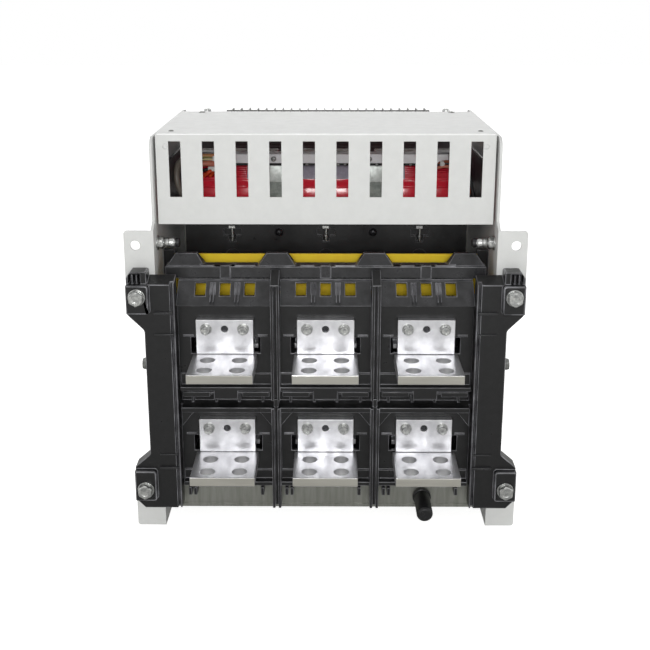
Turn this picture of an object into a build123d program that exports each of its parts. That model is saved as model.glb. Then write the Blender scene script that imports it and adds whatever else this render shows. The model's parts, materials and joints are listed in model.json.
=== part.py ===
from build123d import *
import math
import os

os.makedirs("parts", exist_ok=True)

# Three-pole draw-out air circuit breaker in its cradle. Millimetres.
# X runs across the poles, Y from the rear terminals towards the operator, Z up.
# Z = 0 is the surface that the cradle's feet stand on.

# Clearance between pieces that are fitted together
part_gap = 0.3

# Poles
pole_count = 3
pole_pitch = 95.0
poles = [(n - (pole_count - 1) / 2) * pole_pitch for n in range(pole_count)]
pole_edges = [(n - pole_count / 2) * pole_pitch for n in range(pole_count + 1)]
partitions = pole_edges[1:-1]

# Cradle sheet metal
sheet = 2.5
plate_gap = 319.0
plate_in = plate_gap / 2
plate_out = plate_in + sheet
flange_half = 187.5
rear_plane = -150.0
side_rear = -140.0
cradle_front = 150.0
side_top = 388.0
side_nose_z = 252.0
side_nose_run = 62.0
upper_flange_low = 225.0
upper_flange_high = 303.0
foot_flange_high = 60.0
flange_corner = 3.0
flange_sweep = 7.0
mount_hole_edge = 10.5
mount_hole_x = flange_half - mount_hole_edge
mount_hole_z = 289.0
mount_hole_r = 4.5
lift_slot_length = 96.0
lift_slot_height = 30.0
lift_slot_y = -10.0
lift_slot_z = 338.0
pan_low = 19.0
pan_lip = 14.0
pan_gap = 0.3
beam_y = -145.7
beam_sheet = 2.0
beam_high = 62.0
beam_hem = 3.0
floor_hole_x = 130.0
floor_hole_y = 110.0
floor_hole_r = 5.5

# Outer stiffeners on the side plates
stiffener_out = 174.0
stiffener_low = 80.0
stiffener_high = 207.0
stiffener_rear = -139.5
stiffener_front = 120.0
stiffener_foot = 16.0
stiffener_chamfer = 9.0
side_bolt_z = 157.5
side_bolt_y = -112.0

# Moulded terminal bases
base_wall = 4.0
base_inset = 2.5
base_half = pole_count * pole_pitch / 2 - base_inset
base_front = -104.0
base_step = 101.0
upper_base_low = 144.0
nose_z = 232.6
nose_y = -158.0
partition_rear = -162.0
partition_wide = 8.4
partition_groove = 3.0
partition_groove_deep = 7.0
partition_low = 25.6
partition_joint = 131.0
partition_neck = 8.0
block_top_front = 264.0
block_top_rear = 254.0
block_top_y = -143.0
recess_y = -141.0
shelf_rear = -160.0
shelf_thick = 4.0
lip_high = 5.0
lip_block = 23.0
gusset = 13.0

# Contact chambers in the terminal bases
stab_z = 195.0
stab_thick = 10.0
stab_wide = 60.0
stab_tip = -128.0
chamber_half = 40.0
chamber_low = 170.0
chamber_high = 221.0
chamber_wall = 3.5
slot_high = 16.0
slot_wide = 66.0
guard_thick = 4.0
guard_gap = 0.3
jaw_count = 4
jaw_pitch = 15.6
jaw_wide = 12.6

# Terminals
terminal_wide = 60.0
terminal_thick = 9.0
terminal_top = 185.0
terminal_tip = -211.0
leg_wide = 54.0
leg_thick = 8.0
leg_top = 219.0
leg_bolt_x = 17.5
leg_bolt_z = 210.0
leg_bolt_r = 3.0
leg_hole_r = 3.25
busbar_hole_r = 7.0
busbar_pitch_x = 30.0
busbar_pitch_y = 25.0
busbar_edge = 12.3
bolt_hole_gap = 0.3

# Corner ears and end frames
end_inner = base_half
end_wall_wide = 29.0
end_wall_out = end_inner + end_wall_wide
ear_reach = 15.0
ear_out = end_wall_out + ear_reach
ear_chamfer = 8.0
ear_rear = -172.0
end_rear = -166.0
ear_bolt_inset = 10.5
ear_bolt_x = ear_out - ear_bolt_inset
upper_ear_bolt_z = 245.4
lower_ear_bolt_z = 50.8
upper_ear_below = 19.4
upper_ear_above = 16.6
lower_ear_below = 14.3
lower_ear_above = 21.2
shoulder_run = 15.0
ear_crown = 4.0
end_frame_low = 28.0
ear_bolt_r = 4.0
ear_washer_r = 8.0
ear_washer_thick = 1.6
ear_head_flats = 13.0
ear_head_thick = 5.5

# Hood over the upper base
hood_half = 152.0
hood_sheet = 3.0
band_y = -138.0
band_low = 254.0
band_high = 262.0
slope_top = 252.0
ledge_top = 265.5
ledge_front = -122.0
tooth_half_low = 18.5
tooth_half_high = 10.0
tooth_top = 276.0
tooth_rear = -136.0
tooth_crest = -128.0
tooth_x = [-133.0, -46.5, 46.5, 133.0]
window_wide = 9.8
window_pitch = 23.3
window_low = 240.0
window_high = 250.2
window_offsets = [-window_pitch, 0.0, window_pitch]
latch_wide = 9.5

# Safety shutters
shutter_y = -97.5
shutter_thick = 2.0
shutter_half = 151.0
shutter_gap = 0.4
upper_shutter_low = 222.5
upper_shutter_high = 267.5
lower_shutter_low = 42.0
lower_shutter_high = 66.5
shutter_travel = 36.0
guide_lap = 2.5
guide_inner = shutter_half - guide_lap
guide_front = -91.0

# Rails
rail_web = 2.0
rail_low = 52.0
rail_high = 78.0
rail_open = 151.0
rail_rear = -90.0
rail_gap = 0.3
slide_rear = -60.0
slide_ledge = 143.5
slide_thick = 3.0
rail_travel = 150.0

# Racking gear
screw_z = 36.0
screw_r = 6.0
screw_neck_r = 5.0
screw_fit = 0.05
screw_rear = -62.0
screw_hex = 10.0
rack_travel = 60.0
beam_block_half = 84.0
beam_block_rear = -34.0
beam_block_front = -12.0
beam_block_low = 26.0
beam_block_high = 48.0
horn_x = 62.0
horn_wide = 12.0
horn_top = 66.0

# Crank and its storage sleeve
sleeve_x = 95.5
sleeve_z = 31.4
sleeve_r = 7.8
sleeve_bore = 6.5
sleeve_rear = -185.0
sleeve_end = 4.0
sleeve_collar_r = 9.0
sleeve_collar = 4.0
crank_r = 6.2
crank_travel = 240.0

# Front sill
sill_low = 3.0
sill_high = 50.0
sill_front = 190.0
sill_wall = 3.0
sill_half = 157.0

# Arc cover and top gear
cover_sheet = 1.5
cover_rear = -131.0
cover_half = 157.5
cover_rise = 2.7
cover_top = side_top + cover_rise
cover_front = 40.0
cover_high = 85.7
cover_low = cover_top - cover_high
cover_flange = 12.0
cover_ear_high = 42.7
cover_ear_deep = 22.0
cover_corner = 3.0
vent_count = 10
vent_pitch = 31.1
vent_wide = 11.3
vent_margin = 7.2
vent_tall = 52.5
vent_high = cover_top - vent_margin
vent_low = vent_high - vent_tall
cover_hole_inset = 9.0
cover_hole_x = cover_half - cover_hole_inset
cover_hole_r = 2.0
cover_bolt_inset = 23.0
cover_bolt_x = cover_half - cover_bolt_inset
cover_screw_y = -119.0
cover_screw_drop = 9.7
cover_screw_z = cover_top - cover_screw_drop
cover_screw_r = 1.9
stud_y = -132.0
stud_drop = 17.5
stud_z = cover_low - stud_drop
stud_tip = 138.0
stud_nut = 5.0
stud_nut_flats = 11.0
stud_washer = 1.5
stud_washer_r = 7.0
stud_roller_r = 5.0
crossbar_rear = 50.0
crossbar_front = 78.0
crossbar_drop = 17.0
crossbar_high = side_top - crossbar_drop
connector_low_x = -113.0
connector_high_x = 116.0
connector_body_high = 13.0
connector_barrier_high = 21.0
connector_body_top = crossbar_high + connector_body_high
connector_top = crossbar_high + connector_barrier_high
connector_pitch = 12.8

# Breaker casing
breaker_half = 1.5 * pole_pitch
casing_low = 60.0
casing_rear = -64.0
casing_split = -2.0
casing_front = 40.0
casing_wall = 6.0
cell_half = 38.0
frame_side = 2.5
frame_side_gap = 0.2
frame_gap = 0.5
side_plate_front = 148.0
side_plate_rear = -50.0
chute_drop = 20.0
chute_tall = 51.0
chute_top = crossbar_high - chute_drop
casing_high = chute_top - chute_tall
side_plate_top = casing_high - 4.0
side_plate_shoulder = casing_high - 70.0
chute_half = 43.0
chute_front = 36.0
chute_gap = 0.3
chute_taper_deg = 8.0
chute_wall = 4.0
splitter_slots = 7
splitter_pitch = 11.0
splitter_slot = 4.5
clamp_bar_low = chute_top + 1.0
clamp_bar_tall = 9.0
clamp_bar_high = clamp_bar_low + clamp_bar_tall
crossbar_low = clamp_bar_high + 2.5
chute_pocket_drop = 19.0
chute_pocket_z = casing_high - chute_pocket_drop
chute_pocket_half = 10.0
chute_screw_r = 1.4
wire_r = 3.4
plug_deep = 33.0
plug_low = 304.0
plug_high = 358.0
plug_cavity = 12.0

# Moving contacts and shaft
contact_pivot_y = -20.0
contact_pivot_z = 104.0
contact_pin_r = 5.0
contact_count = 3
contact_pitch = 17.0
contact_wide = 13.0
contact_top = 216.0
contact_open_deg = 13.0
pad_thick = 5.0
shaft_y = 62.0
shaft_z = 170.0
shaft_r = 9.0
shaft_half = 136.0
shaft_fit = 0.06
lever_reach = 26.0
lever_offset = 7.0
lever_thick = 4.0
shaft_neck_r = 7.0
lever_pin_r = 3.0
cheek_in = 26.0
cheek_thick = 3.0
spring_y = 92.0
spring_low = 176.0
spring_length = 64.0
spring_r = 13.0
spring_coils = 5

# Front cover and controls
front_inset = 12.5
front_half = breaker_half - front_inset
front_low = 100.0
front_high = 335.0
front_face = 190.0
front_back = 118.0
front_wall = 3.0
front_round = 7.0
trip_rear = 122.0
trip_wide = 84.0
trip_x1 = front_half - 10.0
trip_x0 = trip_x1 - trip_wide
trip_z0 = 130.0
trip_z1 = 312.0
trip_face = 200.0
trip_display_low = 126.0
trip_display_high = 166.0
trip_keys_z = 110.0
reset_z = 16.0
reset_r = 5.0
handle_inset = 34.0
handle_x = handle_inset - front_half
handle_pivot_y = 176.0
handle_pivot_z = 190.0
handle_top = 312.0
handle_half = 9.0
handle_face = 211.0
button_r = 9.0
button_x = -28.0
on_button_z = 168.0
off_button_z = 204.0
button_out = 6.0
button_stroke = 4.0
button_gap = 0.3
flag_x = -28.0
flag_z = 248.0
flag_r = 16.0
flag_half = 13.0


LOW = (Align.CENTER, Align.CENTER, Align.MIN)


# Working functions
def block(x0, x1, y0, y1, z0, z1):
    """Box between two corners."""
    middle = ((x0 + x1) / 2, (y0 + y1) / 2, (z0 + z1) / 2)
    return Pos(*middle) * Box(x1 - x0, y1 - y0, z1 - z0)


def outline(points, rounds=()):
    """Flat face through the points, with a radius at each corner named in rounds."""
    shape = make_face(Polyline(*points, close=True))
    for corner, radius in rounds:
        vertex = shape.vertices().sort_by_distance((corner[0], corner[1], 0))[0]
        shape = fillet(vertex, radius)
    return shape


def along_x(points, x0, x1, rounds=()):
    """Outline in (Y, Z) carried from x0 to x1."""
    plane = Plane(origin=(x0, 0, 0), x_dir=(0, 1, 0), z_dir=(1, 0, 0))
    return extrude(plane * outline(points, rounds), amount=x1 - x0, dir=(1, 0, 0))


def along_y(points, y0, y1, rounds=()):
    """Outline in (X, Z) carried from y0 to y1."""
    plane = Plane(origin=(0, y0, 0), x_dir=(1, 0, 0), z_dir=(0, -1, 0))
    return extrude(plane * outline(points, rounds), amount=y1 - y0, dir=(0, 1, 0))


def along_z(points, z0, z1, rounds=()):
    """Outline in (X, Y) carried from z0 to z1."""
    plane = Plane(origin=(0, 0, z0), x_dir=(1, 0, 0), z_dir=(0, 0, 1))
    return extrude(plane * outline(points, rounds), amount=z1 - z0, dir=(0, 0, 1))


def rod_x(y, z, radius, x0, x1):
    plane = Plane(origin=(x0, y, z), x_dir=(0, 1, 0), z_dir=(1, 0, 0))
    return plane * Cylinder(radius, x1 - x0, align=LOW)


def rod_y(x, z, radius, y0, y1):
    plane = Plane(origin=(x, y0, z), x_dir=(1, 0, 0), z_dir=(0, 1, 0))
    return plane * Cylinder(radius, y1 - y0, align=LOW)


def rod_z(x, y, radius, z0, z1):
    return Pos(x, y, z0) * Cylinder(radius, z1 - z0, align=LOW)


def hex_y(x, z, flats, y0, y1):
    """Hexagonal prism along Y, flats apart by its second size."""
    plane = Plane(origin=(x, y0, z), x_dir=(1, 0, 0), z_dir=(0, 1, 0))
    return extrude(plane * RegularPolygon(flats / 2, 6, major_radius=False), amount=y1 - y0)


def hex_x(y, z, flats, x0, x1):
    plane = Plane(origin=(x0, y, z), x_dir=(0, 1, 0), z_dir=(1, 0, 0))
    return extrude(plane * RegularPolygon(flats / 2, 6, major_radius=False), amount=x1 - x0)


def flipped(shape):
    """The same piece on the other side of the middle plane."""
    return mirror(shape, about=Plane.YZ)


def both_sides(shape):
    return Compound(children=[shape, flipped(shape)])


def group(shapes):
    return Compound(children=list(shapes))


def save(name, shape):
    export_step(shape, f"parts/{name}.step")


# Cradle sheet metal
def side_plate():
    """Right side plate with its folded rear flanges, foot and lifting slot."""
    web = along_x(
        [
            (rear_plane, 0),
            (cradle_front, 0),
            (cradle_front, side_nose_z),
            (cradle_front - side_nose_run, side_top),
            (side_rear, side_top),
            (side_rear, upper_flange_high + flange_sweep),
            (rear_plane, upper_flange_high),
            (rear_plane, upper_flange_low),
            (side_rear, upper_flange_low - flange_sweep),
            (side_rear, foot_flange_high + flange_sweep),
            (rear_plane, foot_flange_high),
        ],
        plate_in,
        plate_out,
        [
            ((side_rear, side_top), 12),
            ((cradle_front - side_nose_run, side_top), 14),
            ((cradle_front, side_nose_z), 14),
        ],
    )
    slot = Plane(
        origin=(plate_in - sheet, lift_slot_y, lift_slot_z), x_dir=(0, 1, 0), z_dir=(1, 0, 0)
    ) * SlotOverall(lift_slot_length, lift_slot_height)
    plate = web - extrude(slot, amount=3 * sheet)
    for low, high in ((0, foot_flange_high), (upper_flange_low, upper_flange_high)):
        flange = along_y(
            [(plate_in, low), (flange_half, low), (flange_half, high), (plate_in, high)],
            rear_plane,
            rear_plane + sheet,
            [((flange_half, low), flange_corner), ((flange_half, high), flange_corner)],
        )
        plate = plate + flange
    holes = [
        (mount_hole_x, mount_hole_z, mount_hole_r),
        (ear_bolt_x, upper_ear_bolt_z, ear_bolt_r + bolt_hole_gap),
        (ear_bolt_x, lower_ear_bolt_z, ear_bolt_r + bolt_hole_gap),
    ]
    for x, z, radius in holes:
        plate = plate - rod_y(x, z, radius, rear_plane - 1, rear_plane + sheet + 1)
    plate = plate - rod_x(side_bolt_y, side_bolt_z, 3.3, plate_in - 1, plate_out + 1)
    hole = cover_screw_r + 0.1
    return plate - rod_x(cover_screw_y, cover_screw_z, hole, plate_in - 1, plate_out + 1)


def floor_pan():
    """Tray across the cradle with a lip up each side and four fixing holes."""
    half = plate_in - pan_gap
    tray = along_y(
        [
            (-half, pan_low + pan_lip),
            (-half, pan_low),
            (half, pan_low),
            (half, pan_low + pan_lip),
            (half - sheet, pan_low + pan_lip),
            (half - sheet, pan_low + sheet),
            (-half + sheet, pan_low + sheet),
            (-half + sheet, pan_low + pan_lip),
        ],
        beam_y + beam_sheet,
        cradle_front,
        [((-half, pan_low), sheet), ((half, pan_low), sheet)],
    )
    for x in (-floor_hole_x, floor_hole_x):
        for y in (-floor_hole_y, floor_hole_y):
            tray = tray - rod_z(x, y, floor_hole_r, pan_low - 1, pan_low + sheet + 1)
    return tray


def rear_beam():
    """Galvanised strip that closes the cradle below the lower terminals."""
    half = plate_in - pan_gap
    face = along_x(
        [
            (beam_y, pan_low),
            (beam_y + beam_sheet, pan_low),
            (beam_y + beam_sheet, beam_high),
            (beam_y, beam_high),
            (beam_y, pan_low + beam_hem),
            (beam_y - 1.2, pan_low + beam_hem),
            (beam_y - 1.2, pan_low),
        ],
        -half,
        half,
    )
    bore = sleeve_r + pan_gap
    return face - rod_y(sleeve_x, sleeve_z, bore, beam_y - 3, beam_y + 3)


def stiffener():
    """Pressed steel channel outside the right side plate, with a chamfered lower end."""
    web = along_x(
        [
            (stiffener_rear, stiffener_low + stiffener_chamfer),
            (stiffener_rear + stiffener_chamfer, stiffener_low),
            (stiffener_front, stiffener_low),
            (stiffener_front, stiffener_high),
            (stiffener_rear, stiffener_high),
        ],
        stiffener_out - sheet,
        stiffener_out,
        [((stiffener_front, stiffener_high), 8), ((stiffener_front, stiffener_low), 8)],
    )
    spacers = [
        block(plate_out, stiffener_out - sheet, y, y + stiffener_foot, stiffener_low + 12,
              stiffener_high - 12)
        for y in (stiffener_front - 2 * stiffener_foot, stiffener_rear + stiffener_foot)
    ]
    body = web + spacers[0] + spacers[1]
    return body - rod_x(side_bolt_y, side_bolt_z, 3.3, plate_out - 1, stiffener_out + 1)


def side_bolts():
    """Hexagon bolts that clamp the stiffeners to the side plates."""
    washer = rod_x(side_bolt_y, side_bolt_z, 6.5, stiffener_out, stiffener_out + 1.2)
    head = hex_x(side_bolt_y, side_bolt_z, 10, stiffener_out + 1.2, stiffener_out + 5.2)
    shank = rod_x(side_bolt_y, side_bolt_z, 3.0, plate_in - 2, stiffener_out)
    return both_sides(washer + head + shank)


# Terminal bases
def partition(x, low, high, sloped):
    """Double moulded wall between two poles with the groove that runs down its edge."""
    half = partition_wide / 2
    front = rear_plane + base_wall
    top = [(partition_rear, high), (front, high)]
    if sloped:
        top = [(partition_rear, block_top_rear), (block_top_y, block_top_front)]
    wall = along_x([(front, low), (partition_rear, low)] + top, x - half, x + half)
    groove = partition_groove / 2
    cut_end = partition_rear + partition_groove_deep
    return wall - block(x - groove, x + groove, partition_rear - 1, cut_end, low - 1, high + 20)


def chamber(x, drop):
    """Box for one pole's jaw contact, open to the front and windowed to the terminal."""
    low = chamber_low - drop
    high = chamber_high - drop
    wall = chamber_wall
    outer = block(x - chamber_half, x + chamber_half, rear_plane, base_front, low, high)
    inner = block(
        x - chamber_half + wall, x + chamber_half - wall, rear_plane + base_wall,
        base_front + 1, low + wall, high - wall,
    )
    return outer, inner


def contact_window(x, drop):
    """Opening in the base wall that the jaw's foot passes to meet the terminal's leg."""
    z = terminal_top - drop
    foot = block(x - 24.3, x + 24.3, rear_plane - 1, rear_plane + base_wall + 1, z + 2, z + 32)
    fingers = block(x - 33, x + 33, rear_plane - 1, rear_plane + base_wall + 1, z - 2, z + 14)
    return foot + fingers


def terminal_base(drop, low, high, sloped):
    """Moulded half of the rear wall: cells, shelves, partitions and contact chambers."""
    front = rear_plane + base_wall
    body = block(-base_half, base_half, rear_plane, front, low, high)
    for x in poles:
        outer, inner = chamber(x, drop)
        body = body + outer - inner
    cell = (pole_pitch - partition_wide) / 2
    for x in poles:
        inside = max(x - cell, -base_half), min(x + cell, base_half)
        ledge = terminal_top - drop - 22
        body = body + block(inside[0], inside[1], rear_plane - 2, front, low, ledge)
        body = body + block(inside[0], inside[1], shelf_rear, front, low + 4, low + 4 + shelf_thick)
        for side in (-1, 1):
            edge = x + side * 31
            step = block(min(edge, edge + side * 9), max(edge, edge + side * 9),
                         rear_plane - 1.2, front, ledge + 37, ledge + 38.5)
            body = body + step
    for x in partitions:
        bottom = partition_low if drop else partition_joint + partition_neck
        body = body + partition(x, bottom, high, sloped)
    for x in poles:
        body = body - contact_window(x, drop)
        for side in (-1, 1):
            hole = rod_y(x + side * leg_bolt_x, leg_bolt_z - drop, leg_bolt_r + bolt_hole_gap,
                         rear_plane - 1, front + 1)
            body = body - hole
    return body


def upper_terminal_base():
    body = terminal_base(0, upper_base_low, nose_z, True)
    front = rear_plane + base_wall
    cell = (pole_pitch - partition_wide) / 2
    for x in poles:
        inside = max(x - cell, -base_half), min(x + cell, base_half)
        lip_top = upper_base_low + 2.5
        lip = block(inside[0] + 2, inside[1] - 2, shelf_rear + 2, front,
                    lip_top - lip_high, lip_top)
        gap_left = block(x - lip_block / 2 - 4, x - lip_block / 2, shelf_rear - 1,
                         rear_plane - 2.5, lip_top - lip_high - 1, lip_top - 1.5)
        gap_right = block(x + lip_block / 2, x + lip_block / 2 + 4, shelf_rear - 1,
                          rear_plane - 2.5, lip_top - lip_high - 1, lip_top - 1.5)
        body = body + lip - gap_left - gap_right
        body = body + block(x - lip_block / 2, x + lip_block / 2, shelf_rear, front,
                            lip_top - lip_high - 1.5, lip_top + 1.5)
    return body


def lower_terminal_base():
    low = upper_base_low - base_step + 2
    body = terminal_base(base_step, low, partition_joint, False)
    front = rear_plane + base_wall
    cell = (pole_pitch - partition_wide) / 2
    for x in poles:
        inside = max(x - cell, -base_half), min(x + cell, base_half)
        shelf = block(inside[0], inside[1], shelf_rear, front, partition_joint - 5,
                      partition_joint)
        body = body + shelf
        for corner, side in ((inside[0], 1), (inside[1], -1)):
            web = along_y(
                [
                    (corner, partition_joint - 5),
                    (corner + side * gusset, partition_joint - 5),
                    (corner + side * gusset * 0.75, partition_joint - 8),
                    (corner, partition_joint - 5 - gusset * 1.2),
                ],
                shelf_rear + 3,
                front,
            )
            body = body + web
        for offset in (-38, -33, 33):
            foot = block(x + offset - 1.6, x + offset + 1.6, shelf_rear + 3, front,
                         low - 8, low)
            body = body + foot
    recess_low = partition_joint
    recess = block(-base_half, base_half, recess_y, recess_y + base_wall, recess_low - 3,
                   upper_base_low + 4)
    recess = recess + block(-base_half, base_half, rear_plane + base_wall, recess_y,
                            recess_low - 3, recess_low)
    for x in poles:
        for offset in (-34, -11, 11, 34):
            rib = block(x + offset - 1.1, x + offset + 1.1, recess_y - 5, recess_y,
                        recess_low - 1, upper_base_low - 3.2)
            recess = recess + rib
    for x in partitions:
        recess = recess + block(x - 2.2, x + 2.2, partition_rear + 5, recess_y,
                                recess_low - 1, partition_joint + partition_neck - 0.2)
    return body + recess


def contact_guard(drop):
    """Insulating front plate of the chambers, slotted for the three stabs."""
    low = chamber_low - drop
    high = chamber_high - drop
    plate = block(-base_half, base_half, base_front, base_front + guard_thick, low, high)
    for x in poles:
        z = stab_z - drop
        plate = plate - block(x - slot_wide / 2, x + slot_wide / 2, base_front - 1,
                              base_front + guard_thick + 1, z - slot_high / 2,
                              z + slot_high / 2)
    return plate


def jaw_contacts(drop):
    """Jaw contacts: a copper foot with spring-loaded finger pairs that grip the stab."""
    pieces = []
    z = stab_z - drop
    foot_low = terminal_top - drop + 2.3
    foot_high = terminal_top - drop + 31.7
    for x in poles:
        foot = block(x - 24, x + 24, rear_plane, rear_plane + 12, foot_low, foot_high)
        for side in (-1, 1):
            foot = foot - rod_y(x + side * leg_bolt_x, leg_bolt_z - drop, leg_bolt_r + 0.05,
                                rear_plane - 1, rear_plane + 13)
        pieces.append(foot)
        contact = stab_thick / 2 + 0.15
        for n in range(jaw_count):
            fx = x + (n - (jaw_count - 1) / 2) * jaw_pitch
            for way in (-1, 1):
                finger = along_x(
                    [
                        (rear_plane + 12.0, z + way * (contact + 1.5)),
                        (stab_tip - 2, z + way * contact),
                        (stab_tip + 10, z + way * contact),
                        (base_front - 2.4, z + way * (contact + 4.5)),
                        (base_front - 2.4, z + way * (contact + 6.5)),
                        (stab_tip + 6, z + way * (contact + 8)),
                        (rear_plane + 12.0, z + way * (contact + 6)),
                    ],
                    fx - jaw_wide / 2,
                    fx + jaw_wide / 2,
                )
                pieces.append(finger)
    return group(pieces)


# Terminals
def terminal(x, drop):
    """L-shaped silver-plated bar: bored plate for the busbar and a bolted leg."""
    top = terminal_top - drop
    leg_rear = rear_plane - leg_thick
    plate = block(x - terminal_wide / 2, x + terminal_wide / 2, terminal_tip, leg_rear + 1,
                  top - terminal_thick, top)
    heel = block(x - leg_wide / 2, x + leg_wide / 2, leg_rear, rear_plane,
                 top - terminal_thick, leg_top - drop)
    bar = plate + heel
    rim = bar.edges().filter_by(Axis.X).group_by(Axis.Y)[0]
    bar = chamfer(rim, 0.5)
    for column in (-0.5, 0.5):
        for row in (0, 1):
            bar = bar - rod_z(x + column * busbar_pitch_x,
                              terminal_tip + busbar_edge + row * busbar_pitch_y,
                              busbar_hole_r, top - terminal_thick - 1, top + 1)
    for side in (-1, 1):
        bar = bar - rod_y(x + side * leg_bolt_x, leg_bolt_z - drop, leg_bolt_r + bolt_hole_gap,
                          leg_rear - 1, rear_plane + 1)
    return bar - rod_y(x, leg_bolt_z - drop, leg_hole_r, leg_rear - 1, rear_plane + 1)


def terminal_bolts():
    """Hexagon bolts with washers through each terminal's leg."""
    pieces = []
    face = rear_plane - leg_thick
    for drop in (0, base_step):
        for x in poles:
            for side in (-1, 1):
                bx = x + side * leg_bolt_x
                bz = leg_bolt_z - drop
                bolt = rod_y(bx, bz, 5.5, face - 2.4, face)
                bolt = bolt + hex_y(bx, bz, 8, face - 6.4, face - 2.4)
                bolt = bolt + rod_y(bx, bz, leg_bolt_r, face, rear_plane + 11)
                pieces.append(bolt)
    return group(pieces)


# End frames
def end_frame():
    """Right end moulding: side wall, sloped shoulder and the two bolting ears."""
    lower_low = lower_ear_bolt_z - lower_ear_below
    lower_high = lower_ear_bolt_z + lower_ear_above
    upper_low = upper_ear_bolt_z - upper_ear_below
    upper_high = upper_ear_bolt_z + upper_ear_above
    crown = max(upper_high + 6, block_top_front + ear_crown)
    profile = [
        (end_inner, end_frame_low),
        (ear_out - ear_chamfer, end_frame_low),
        (ear_out, lower_low),
        (ear_out, lower_high),
        (end_wall_out, lower_high + shoulder_run - 2),
        (end_wall_out, upper_low - shoulder_run),
        (ear_out, upper_low),
        (ear_out, upper_high),
        (ear_out - ear_crown, crown),
        (end_wall_out - 3, crown),
        (end_wall_out - 6, block_top_front),
        (end_inner, block_top_front),
    ]
    rounds = [((end_wall_out, upper_low - shoulder_run), 6), ((ear_out, upper_low), 3),
              ((end_wall_out, lower_high + shoulder_run - 2), 4), ((ear_out, lower_high), 3)]
    frame = along_y(profile, end_rear, rear_plane, rounds)
    shoulder = along_x(
        [(end_rear - 10, block_top_rear - 2.0), (block_top_y, block_top_front),
         (block_top_y, block_top_front + 20), (end_rear - 10, block_top_front + 20)],
        end_inner - 1,
        end_wall_out - 4,
    )
    frame = frame - shoulder
    recess = block(end_wall_out + 1.5, ear_out - 2, end_rear - 1, rear_plane - 4,
                   upper_high - 5.6, crown - 2)
    frame = frame - recess
    for rib_x in (end_wall_out + 5.2, end_wall_out + 9.2):
        frame = frame + block(rib_x - 0.7, rib_x + 0.7, end_rear + 1, rear_plane,
                              upper_high - 6.6, crown - 3)
    for z0, z1 in ((upper_low + 2.4, upper_high - 5.6), (lower_low + 1.7, lower_high - 2.2)):
        pad = along_y(
            [(end_wall_out - 6, z0), (ear_out, z0), (ear_out, z1), (end_wall_out - 6, z1)],
            ear_rear,
            end_rear,
            [((end_wall_out - 6, z0), 3), ((end_wall_out - 6, z1), 3)],
        )
        frame = frame + chamfer(pad.edges().group_by(Axis.Y)[0], 0.8)
    tongue = block(end_inner, plate_in - 2.5, rear_plane, base_front, beam_high + 2, nose_z - 4)
    frame = frame + tongue
    groove = block(end_inner + 1.6, end_inner + 3.8, end_rear - 1, end_rear + 5,
                   end_frame_low - 1, crown + 2)
    frame = frame - groove
    for z in (upper_ear_bolt_z, lower_ear_bolt_z):
        frame = frame - rod_y(ear_bolt_x, z, ear_bolt_r + bolt_hole_gap, ear_rear - 1,
                              rear_plane + 1)
    return frame


def frame_bolts():
    """Four bolts with washers that hold the end frames to the rear flanges."""
    pieces = []
    for x in (-ear_bolt_x, ear_bolt_x):
        for z in (upper_ear_bolt_z, lower_ear_bolt_z):
            washer_face = ear_rear - ear_washer_thick
            bolt = rod_y(x, z, ear_washer_r, washer_face, ear_rear)
            bolt = bolt + hex_y(x, z, ear_head_flats, washer_face - ear_head_thick, washer_face)
            bolt = bolt + rod_y(x, z, ear_bolt_r, ear_rear, rear_plane + sheet + 8)
            nut = hex_y(x, z, ear_head_flats, rear_plane + sheet, rear_plane + sheet + 6.5)
            pieces.append(bolt + nut)
    return group(pieces)


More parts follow.
